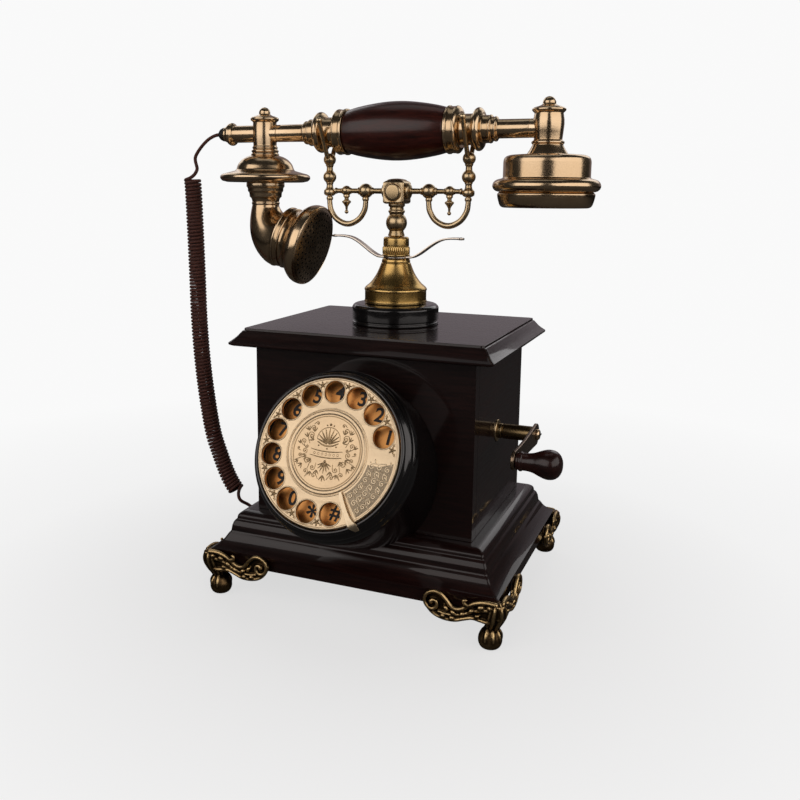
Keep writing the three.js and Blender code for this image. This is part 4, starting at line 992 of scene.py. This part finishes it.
cap = [(0, -43.6), (6, -43.6), (12, -45.2), (20, -47.6), (24, -48.9), (26.4, -49.0), (28.0, -48.3), (28.9, -46.8), (29.5, -44.8), (30.1, -42.4), (30.3, -40.4), (29.4, -39.6), (28.6, -38.9), (0, -38.9)]
ecap = shift(lathe(rnd(cap, 0.7, 4, min_angle=5), 112), EX, 0, 0)
dots = [shift(lathe([(0, -44.6), (0.75, -44.6), (0.75, -43.4), (0, -43.4)], 10), EX + rr * math.cos(a), rr * math.sin(a), 0) for rr, n in ((0, 1), (3.2, 6)) for a in [2 * math.pi * j / n for j in range(n)]]
make("receiver_earcap", ecap, BRASS, "handset", ["receiver_cap"], space=HS, gain=1.7)
# near-black discs in the earcap's face: painted shade of its holes
make("earcap_hole_shade", merge(*[shift(d, 0, 0, 0.85) for d in dots]), SHADE_BLACK, "handset", [], space=HS)
make("strain_gland", lx(rnd([(0, -137.2), (1.9, -137.2), (2.6, -136.9), (3.6, -136.0), (4.2, -135.2), (3.9, -134.8), (4.7, -134.2), (4.8, -133.0), (4.6, -132.3), (0, -132.3)], 0.3, 3), 32), RUBBER, "handset", ["cord_gland"], space=HS)

# --------------------------------------------------------------------- dial
drum = rnd([(45.4, -0.9), (46.2, -0.55), (47.0, -0.7), (47.6, -1.5), (47.8, -2.8), (49.2, -4.2), (50.4, -6.2), (50.7, -8.0), (51.2, -8.8), (51.9, -10.4), (52.4, -12.6), (52.5, -15), (52.5, -90), (49.2, -90), (49.2, -16), (41, -12.0), (41, -9.4), (45.4, -9.3)], 0.5, 3, closed=True, min_angle=6)
o = make("dial_drum", lathe(drum, 160, closed=True), BLACK, "base", ["dial_housing"], space=DIAL_M, sharp=60)
bm = bmesh.new()
bm.from_mesh(o.data)
r = bmesh.ops.bisect_plane(bm, geom=bm.verts[:] + bm.edges[:] + bm.faces[:], plane_co=P(0, -59.8, 0), plane_no=(0, 1, 0), clear_outer=True)
edges = [g for g in r["geom_cut"] if isinstance(g, bmesh.types.BMEdge)]
loops = bmesh.ops.bridge_loops(bm, edges=edges)
bmesh.ops.recalc_face_normals(bm, faces=bm.faces)
bm.to_mesh(o.data)
bm.free()
finish_mesh(o, sharp=60)

plate = lathe(rnd([(6.6, -8.9), (44.9, -8.9), (44.9, -7.7), (6.6, -7.7)], 0.2, 2, closed=True), 96, closed=True)
# near-black ring on the plate's edge, in the gap between wheel rim and drum: painted shade
make("plate_gap_shade_ring", lathe(rnd([(43.9, -8.2), (45.2, -8.2), (45.2, -7.5), (43.9, -7.5)], 0.1, 2, closed=True), 96, closed=True), SHADE_BLACK, "base", [], space=DIAL_M)
make("number_disc", plate, COPPER, "base", ["number_plate"], space=DIAL_M)
FIRST, STEP, HR, HC = 20.5, 23.95, 6.7, 36.1


def text_mesh(s, size, thick, bold=0.0):
    cu = bpy.data.curves.new("t", "FONT")
    cu.body = s
    cu.size = size
    cu.align_x = "CENTER"
    cu.align_y = "CENTER"
    cu.extrude = thick / 2
    cu.offset = bold
    t = bpy.data.objects.new("t", cu)
    bpy.context.scene.collection.objects.link(t)
    dg = bpy.context.evaluated_depsgraph_get()
    me = bpy.data.meshes.new_from_object(t.evaluated_get(dg), depsgraph=dg)
    V = np.array([v.co for v in me.vertices], float)
    F = [tuple(p.vertices) for p in me.polygons]
    bpy.data.objects.remove(t)
    bpy.data.curves.remove(cu)
    c = (V.max(0) + V.min(0)) / 2
    V[:, :2] -= c[:2]
    return V, F


digits = []
for i, ch in enumerate("1234567890*#"):
    a = rad(FIRST + STEP * i)
    V, F = text_mesh(ch, 12.0 if ch != "*" else 17, 0.3, 0.26)
    c10, s10 = math.cos(rad(-6)), math.sin(rad(-6))
    V = np.stack([V[:, 0] * c10 - V[:, 1] * s10, V[:, 0] * s10 + V[:, 1] * c10, V[:, 2]], 1)
    digits.append((V + np.array([HC * math.cos(a) + 0.5, HC * math.sin(a) + 1.1, -7.6]), F))
make("printed_digits", merge(*digits), INK, "base", [], space=DIAL_M, sharp=30)

wheel = flat_shape([circle(0, 0, 44.8, 180)] + [circle(HC * math.cos(rad(FIRST + STEP * i)), HC * math.sin(rad(FIRST + STEP * i)), HR, 48, True) for i in range(12)], 3.0, 0.45, 3)
wheel = shift(wheel, 0, 0, -1.5)
rings = []
for i in range(12):
    a = rad(FIRST + STEP * i)
    rings.append(shift(lathe(rnd([(6.55, -0.3), (7.45, -0.3), (7.35, 0.22), (6.9, 0.35), (6.6, 0.15)], 0.15, 2, closed=True), 48, closed=True), HC * math.cos(a), HC * math.sin(a), 0))
rim = lathe(rnd([(43.4, -0.2), (44.7, -0.2), (44.6, 0.25), (44.0, 0.4), (43.5, 0.2)], 0.2, 2, closed=True), 180, closed=True)
groove = lathe(rnd([(25.3, -0.2), (26.2, -0.2), (26.1, 0.28), (25.7, 0.38), (25.35, 0.2)], 0.15, 2, closed=True), 120, closed=True)
hub = lathe([(0, -11.2), (6.0, -11.2), (6.0, -2.6), (0, -2.6)], 40)
make("finger_disc", merge(wheel, *rings, rim, groove, hub), PALE, "dial", ["finger_wheel"], space=DIAL_M, sharp=40, gain=2.0)


def petal(cx, cy, ang, ln, w, z=0.05, h=0.34):
    a = rad(ang)
    q = [np.array([cx + t * ln * math.cos(a), cy + t * ln * math.sin(a), z]) for t in np.linspace(0.12, 1, 6)]
    return tube(q, [w * (0.45 + 0.75 * math.sin(math.pi * (0.15 + 0.85 * k / 5))) for k in range(6)], 6)


def spiral(cx, cy, size, rot, turns=1.25, flip=1, r=0.26, z=0.08, tail=1.1):
    q = []
    n = 26
    for k in range(n):
        t = k / (n - 1)
        a = flip * turns * 2 * math.pi * (1 - t)
        rr = size * (0.16 + 0.84 * t ** 1.2)
        q.append((rr * math.cos(a), rr * math.sin(a)))
    e = np.array(q[-1]) - np.array(q[-2])
    e /= np.linalg.norm(e)
    q = q + [tuple(np.array(q[-1]) + e * size * tail * k / 4 + np.array([0, -flip * 0.05 * size * k * k / 4])) for k in range(1, 5)]
    c, s = math.cos(rad(rot)), math.sin(rad(rot))
    pts = [np.array([cx + x * c - y * s, cy + x * s + y * c, z]) for x, y in q]
    return tube(pts, [r * (1.25 - 0.6 * k / (len(pts) - 1)) for k in range(len(pts))], 6)


def dot(cx, cy, r=0.5, z=0.0):
    return shift(lathe(ball(r, 0, 4), 8), cx, cy, z)


# small rosettes at the rim between the holes
ros = []
for i in range(-1, 12):
    a = rad(FIRST + STEP * (i + 0.5))
    if i == -1:
        a = rad(FIRST - STEP * 0.52)
    if i == 11:
        continue
    cx, cy = 40.6 * math.cos(a), 40.6 * math.sin(a)
    for k in range(5):
        ros.append(petal(cx, cy, math.degrees(a) + 72 * k, 2.2, 0.46, 0.12))
    ros.append(dot(cx, cy, 0.55, 0.15))
    for sgn in (-1, 1):
        b = a + sgn * rad(3.6)
        ros.append(spiral(42.1 * math.cos(b), 42.1 * math.sin(b), 0.85, math.degrees(a) + 90 * sgn, 1.0, sgn, 0.2, 0.1, 0.6))
make("wheel_rosettes", merge(*ros), LINE, "dial", [], space=DIAL_M, sharp=60)
# scrollwork field between the stop and hole 1
fa0, fa1 = rad(-54.5), rad(-2.5)
outer = [(42.6 * math.cos(t), 42.6 * math.sin(t)) for t in np.linspace(fa0, fa1, 30)]
inner = [(27.2 * math.cos(t), 27.2 * math.sin(t)) for t in np.linspace(rad(-9), fa0, 24)]
field = flat_shape([outer + [(38.6, -3.2), (34.0, -4.6), (30.0, -4.4)] + inner], 0.16, 0.05, 1)
# the field gets a darker, rougher base colour than the wheel
make("scroll_field", shift(field, 0, 0, 0.06), DARK_FIELD, "dial", [], space=DIAL_M)
fs = []
for j, (rr, size, n, off) in enumerate(((30.2, 1.75, 6, 0), (35.0, 2.0, 7, 0.5), (39.9, 1.8, 8, 0.0))):
    for k in range(n):
        t = fa0 + (fa1 - fa0 - rad(3.0)) * (k + 0.55 + 0.2 * off) / n
        fl = 1 if (k + j) % 2 else -1
        fs.append(spiral(rr * math.cos(t), rr * math.sin(t), size, math.degrees(t) + (90 if fl > 0 else -90) + random.uniform(-12, 12), 1.3, fl, 0.30, 0.22, 1.5))
        t2 = t + (fa1 - fa0) / n * 0.5
        if t2 < fa1 - rad(2):
            fs.append(petal((rr + 1.6 * fl) * math.cos(t2), (rr + 1.6 * fl) * math.sin(t2), math.degrees(t2) + 90 * fl + 20, 2.4, 0.36, 0.2))
            fs.append(dot((rr - 1.5 * fl) * math.cos(t2), (rr - 1.5 * fl) * math.sin(t2), 0.42, 0.16))
make("scroll_relief", merge(*fs), PALE, "dial", [], space=DIAL_M, sharp=60, base=0.75)

capp = rnd([(0, -0.9), (24.9, -0.9), (25.0, 0.3), (24.3, 0.75), (23.4, 0.8), (22.8, 0.7), (22.3, 0.32), (21.6, 0.25), (0, 0.3)], 0.25, 3)
make("dial_centre", lathe(capp, 128), PALE, "dial", ["dial_cap"], space=DIAL_M, sharp=50, gain=2.0)
orn = []
z0 = 0.30
# generic medallion: shell fan, empty ribbon, mirrored scrolls and leaf sprays


def stroke(pts, r=0.24):
    q = smooth_profile([(x, y, z0 + 0.04) for x, y in pts], 4)
    return tube(q, [r * (0.7 + 0.5 * math.sin(math.pi * i / (len(q) - 1))) for i in range(len(q))], 6)


for k in range(9):
    orn.append(petal(0, 4.4, 90 + (k - 4) * 17, 9.6 - 0.45 * abs(k - 4), 0.42, z0))
orn.append(stroke([(-6.6, 5.6), (-3.4, 4.0), (0, 3.5), (3.4, 4.0), (6.6, 5.6)], 0.42))
orn.append(stroke([(-7.4, 7.6), (-6.6, 10.6), (-4.0, 13.4), (0, 14.6), (4.0, 13.4), (6.6, 10.6), (7.4, 7.6)], 0.22))
orn.append(dot(0, 16.2, 0.8, z0))
for x, y in ((-2.2, 15.6), (2.2, 15.6), (-5.6, 3.4), (5.6, 3.4), (0, 1.9)):
    orn.append(dot(x, y, 0.5, z0))
for y, w in ((0.2, 10.0), (-3.4, 10.0)):
    orn.append(stroke([(-w, y + 0.9), (-w / 2, y + 0.2), (0, y), (w / 2, y + 0.2), (w, y + 0.9)], 0.28))
for k in range(7):
    x = -7.5 + 2.5 * k
    orn.append(shift(lathe([(0.42, -0.1), (0.62, 0.12), (0.82, -0.1)], 14, closed=True), x, -1.55 + 0.006 * x * x, z0))
for s in (-1, 1):
    for (x, y, size, rot, turns, fl) in ((11.2, 8.8, 2.5, -40, 1.4, 1), (15.4, 4.8, 2.0, -75, 1.3, 1), (14.0, -0.6, 1.9, -95, 1.3, -1), (16.6, -3.6, 1.6, -100, 1.3, -1), (11.6, -6.4, 2.3, -150, 1.4, -1), (7.4, -9.8, 1.8, 170, 1.3, 1),
                                         (10.6, 13.2, 1.7, 10, 1.2, 1), (11.4, -12.4, 1.7, -140, 1.3, -1), (5.6, -14.6, 1.6, 160, 1.2, -1), (13.0, 2.2, 1.2, -20, 1.1, -1), (18.0, 0.6, 1.0, -90, 1.0, 1), (8.4, 16.2, 1.2, 30, 1.1, 1)):
        q = spiral(x, y, size, rot, turns, fl, 0.27, z0 + 0.05, 1.2)
        if s < 0:
            q = mirror_x(q)
        orn.append(q)
    for (x, y, an, ln) in ((9.2, 6.0, 20, 3.4), (9.6, 11.0, 70, 3.0), (13.6, 7.4, 60, 2.8), (12.4, -3.4, -40, 3.0), (9.4, -4.6, -80, 2.8), (14.4, -8.2, -60, 3.0), (8.6, -12.2, -110, 2.8), (4.4, -11.0, -100, 3.0), (17.4, 3.2, 60, 2.4), (17.2, -6.6, -50, 2.4), (13.6, 11.6, 50, 2.6)):
        for da in (-24, 12, 48):
            orn.append(petal(s * x, y, (an + da) if s > 0 else 180 - (an + da), ln, 0.30, z0))
for k in range(7):
    orn.append(petal(0, -6.2, -90 + (k - 3) * 22, 6.4 - 0.6 * abs(k - 3), 0.36, z0))
orn.append(dot(0, -5.6, 0.8, z0))
for k in range(3):
    orn.append(petal(0, -13.6, -90 + (k - 1) * 34, 3.6, 0.36, z0))
orn.append(shift(lathe([(21.2, -0.1), (21.5, 0.1), (21.2, 0.18), (21.0, 0.08)], 96, closed=True), 0, 0, z0))
make("medallion_relief", merge(*orn), LINE, "dial", [], space=DIAL_M, sharp=60)

# finger stop: curved strip from the cap's edge over the rim
q3 = smooth_profile([(25.9, 0.9, 1.75), (30, 0.3, 1.8), (35, 0.0, 1.8), (40, 0.1, 1.8), (44, 0.5, 1.7), (46.2, 1.0, 1.35), (47.4, 1.3, 0.2), (48.1, 1.5, -1.6), (48.7, 1.6, -3.6)], 5)
wds = np.interp(np.linspace(0, 1, len(q3)), [0, 0.08, 0.40, 0.52, 0.64, 0.8, 1], [1.4, 2.4, 2.8, 4.0, 5.6, 3.8, 2.6])
stop = ribbon(q3, wds, 1.1)
stop = apply(stop, Matrix.Rotation(rad(-60), 4, "Z"))
make("finger_hook", stop, PALE, "base", ["finger_stop"], space=DIAL_M, gain=2.0, base=0.65)

# -------------------------------------------------------------------- crank
bush = lx(rnd([(5.2, 65.5), (7.4, 65.5), (7.4, 75.3), (7.0, 75.8), (5.2, 75.8)], 0.3, 3, closed=True), 56, closed=True)
make("crank_escutcheon", shift(bush, 0, CRANK_Y, CRANK_Z), CRADLE, "base", ["crank_bush"])
shaft = lx(rnd([(0, 62), (5.0, 62), (5.0, 78.2), (4.7, 78.6), (4.7, 79.2), (5.0, 79.6), (5.0, 96.6), (5.0, 98.4), (4.6, 98.9), (0, 98.9)], 0.2, 2), 48)
# darker base colour on the crank spindle
SHAFT = metal("dark_shaft_metal", (0.02, 0.013, 0.007), (0.17, 0.115, 0.05), (0.42, 0.30, 0.15), rough=(0.22, 0.36))
ARMM = metal("dark_lever", (0.012, 0.009, 0.007), (0.07, 0.05, 0.035), (0.30, 0.22, 0.15), rough=(0.22, 0.36))
KNOBW = wood("knob_dark_wood", (0.006, 0.002, 0.0018), (0.045, 0.010, 0.007), along=(1, 9, 9), rough=0.3, coat=0.9, coat_rough=0.16)
make("crank_spindle", shift(shaft, 0, CRANK_Y, CRANK_Z), SHAFT, "crank", ["crank_shaft"])
L = KNOB_Y - CRANK_Y
ang = math.atan2(KNOB_Z - CRANK_Z, L)
pts = [(7.2 * math.cos(rad(a)), 7.2 * math.sin(rad(a))) for a in np.linspace(-80, 80, 17)]
pts += [(-10, 6.4), (-30, 5.2), (-44, 5.2)]
pts += [(-58 + 5.8 * math.cos(rad(a)), 5.8 * math.sin(rad(a))) for a in np.linspace(80, 280, 17)]
pts += [(-44, -5.2), (-30, -5.2), (-10, -6.4)]
g = flat_shape([pts], 2.2, 0.5, 3)
armv = np.stack([g[0][:, 2] + ARM_X + 1.1, g[0][:, 0], g[0][:, 1]], 1)
ROT = Matrix.Translation((0, CRANK_Y, CRANK_Z)) @ Matrix.Rotation(ang - math.pi, 4, "X")
make("crank_lever", (armv, g[1]), ARMM, "crank", ["crank_arm"], space=ROT, gain=2.2, base=0.6)
x0 = ARM_X + ARM_T + 0.1
screw = shift(lx(rnd([(0, x0), (3.7, x0), (3.6, x0 + 0.9), (2.8, x0 + 1.8), (0, x0 + 2.3)], 0.4, 3), 32), 0, CRANK_Y, CRANK_Z)
# near-black bar in the screw head: painted shade of the slot
slot_shade_bar = loft([[(x0 + 1.5, CRANK_Y + a, CRANK_Z + b) for a, b in ((-3.0, -0.35), (3.0, -0.35), (3.0, 0.35), (-3.0, 0.35))], [(x0 + 2.35, CRANK_Y + a, CRANK_Z + b) for a, b in ((-3.0, -0.35), (3.0, -0.35), (3.0, 0.35), (-3.0, 0.35))]])
make("crank_screw_head", screw, BRASS, "crank", ["crank_screw"])
make("crank_screw_slot_shade", slot_shade_bar, SHADE_BLACK, "crank", [])
k0 = ARM_X + ARM_T + 0.3
knob = [(0, 0), (4.6, 0), (5.2, 0.5), (5.3, 1.6), (5.9, 2.2), (5.9, 3.4), (5.3, 4.0)] + [tuple(q) for q in smooth_profile([(5.3, 4.4), (5.4, 7.4), (6.0, 10.4), (7.3, 13.6), (8.5, 17.0), (8.85, 19.8), (8.3, 22.8), (6.6, 25.2), (4.0, 26.7), (1.6, 27.2)], 4)] + [(0, 27.3)]
make("crank_pear_knob", shift(lx(rnd(knob, 0.3, 2), 56), k0, KNOB_Y, KNOB_Z), KNOBW, "knob", ["crank_knob"])

# ------------------------------------------------------------ stage and light
ENV_FRONT, ENV_SIDE, ENV_BACK = 0.02, 0.03, 0.24
FLOOR_SEEN_BY_OBJECT = 0.10
floor_me = bpy.data.meshes.new("floor")
N = 96
fl = [(0, 0, -0.0004)] + [(40 * math.cos(2 * math.pi * k / N), 40 * math.sin(2 * math.pi * k / N), -0.0004) for k in range(N)]
floor_me.from_pydata(fl, [], [(0, 1 + k, 1 + (k + 1) % N) for k in range(N)])
floor = bpy.data.objects.new("floor", floor_me)
bpy.context.scene.collection.objects.link(floor)
fm, fnt, fb = new_mat("pale_floor")
fb.inputs["Roughness"].default_value = 0.95
fb.inputs["Specular IOR Level"].default_value = 0.0
flp = nn(fnt, "ShaderNodeLightPath")
fnt.links.new(ramp(fnt, flp.outputs["Is Camera Ray"], [(0.0, grey(FLOOR_SEEN_BY_OBJECT)), (1.0, grey(0.84))]), fb.inputs["Base Color"])
fem = nn(fnt, "ShaderNodeEmission", Strength=1.0)
fem.inputs["Color"].default_value = (0.95, 0.95, 0.95, 1)
ftc = nn(fnt, "ShaderNodeTexCoord")
flen = nn(fnt, "ShaderNodeVectorMath", operation="LENGTH")
fnt.links.new(ftc.outputs["Object"], flen.inputs[0])
fade = ramp(fnt, flen.outputs["Value"], [(0.10, grey(0.70)), (0.30, grey(0.90)), (0.60, grey(1.0)), (1.0, grey(1.0))])
fgate = math_node(fnt, "MULTIPLY", fade, flp.outputs["Is Camera Ray"])
fmix = nn(fnt, "ShaderNodeMixShader")
fnt.links.new(fgate, fmix.inputs[0])
fnt.links.new(fb.outputs[0], fmix.inputs[1])
fnt.links.new(fem.outputs[0], fmix.inputs[2])
fnt.links.new(fmix.outputs[0], fnt.nodes["Material Output"].inputs["Surface"])
floor_me.materials.append(fm)

world = bpy.data.worlds.new("studio")
bpy.context.scene.world = world
world.use_nodes = True
wn = world.node_tree
bg = wn.nodes["Background"]
tc = nn(wn, "ShaderNodeTexCoord")


def world_dot(v, stops):
    d = nn(wn, "ShaderNodeVectorMath", operation="DOT_PRODUCT")
    wn.links.new(tc.outputs["Generated"], d.inputs[0])
    d.inputs[1].default_value = v
    h_ = math_node(wn, "MULTIPLY_ADD", d.outputs["Value"], 0.5)
    h_.node.inputs[2].default_value = 0.5
    return ramp(wn, h_, stops)


back = world_dot((-math.sin(az), math.cos(az), 0.0), [(0.0, grey(ENV_FRONT)), (0.80, grey(ENV_SIDE)), (0.93, (ENV_BACK, ENV_BACK * 0.86, ENV_BACK * 0.92)), (1.0, (ENV_BACK, ENV_BACK * 0.86, ENV_BACK * 0.92))])
lp = nn(wn, "ShaderNodeLightPath")
mixc = nn(wn, "ShaderNodeMix", data_type="RGBA")
wn.links.new(lp.outputs["Is Camera Ray"], mixc.inputs["Factor"])
wn.links.new(back, mixc.inputs["A"])
mixc.inputs["B"].default_value = (0.95, 0.95, 0.95, 1)
wn.links.new(mixc.outputs["Result"], bg.inputs["Color"])
bg.inputs["Strength"].default_value = 1.0


def area(name, azd, eld, dist, w, hgt, radiance, colour=(1, 1, 1), target=(0, 0, 0.18)):
    """Softbox of a given brightness; azd 0 looks along +Y, like the views."""
    la = bpy.data.lights.new(name, "AREA")
    la.shape = "RECTANGLE"
    la.size, la.size_y = w, hgt
    la.energy = radiance * math.pi * w * hgt
    la.color = colour
    lo = bpy.data.objects.new(name, la)
    bpy.context.scene.collection.objects.link(lo)
    a, e = rad(azd), rad(eld)
    back_ = Vector((math.sin(a) * math.cos(e), -math.cos(a) * math.cos(e), math.sin(e)))
    lo.location = Vector(target) + back_ * dist
    lo.rotation_mode = "QUATERNION"
    lo.rotation_quaternion = back_.to_track_quat("Z", "Y")
    return lo


WARM = (1.0, 0.93, 0.90)
area("panel_left", -27, 23, 1.25, 1.45, 0.95, 1.25, WARM)
area("panel_right", 72, 22, 1.25, 2.1, 0.95, 1.25, WARM)
area("overhead", 22.67 + 180, 76, 1.6, 1.2, 0.7, 0.35)
area("back_left", -130, 30, 1.6, 0.7, 0.9, 0.9)
area("back_right", 168, 30, 1.6, 0.7, 0.8, 0.9)
bpy.context.scene.view_settings.view_transform = "Standard"
bpy.context.scene.view_settings.look = "None"
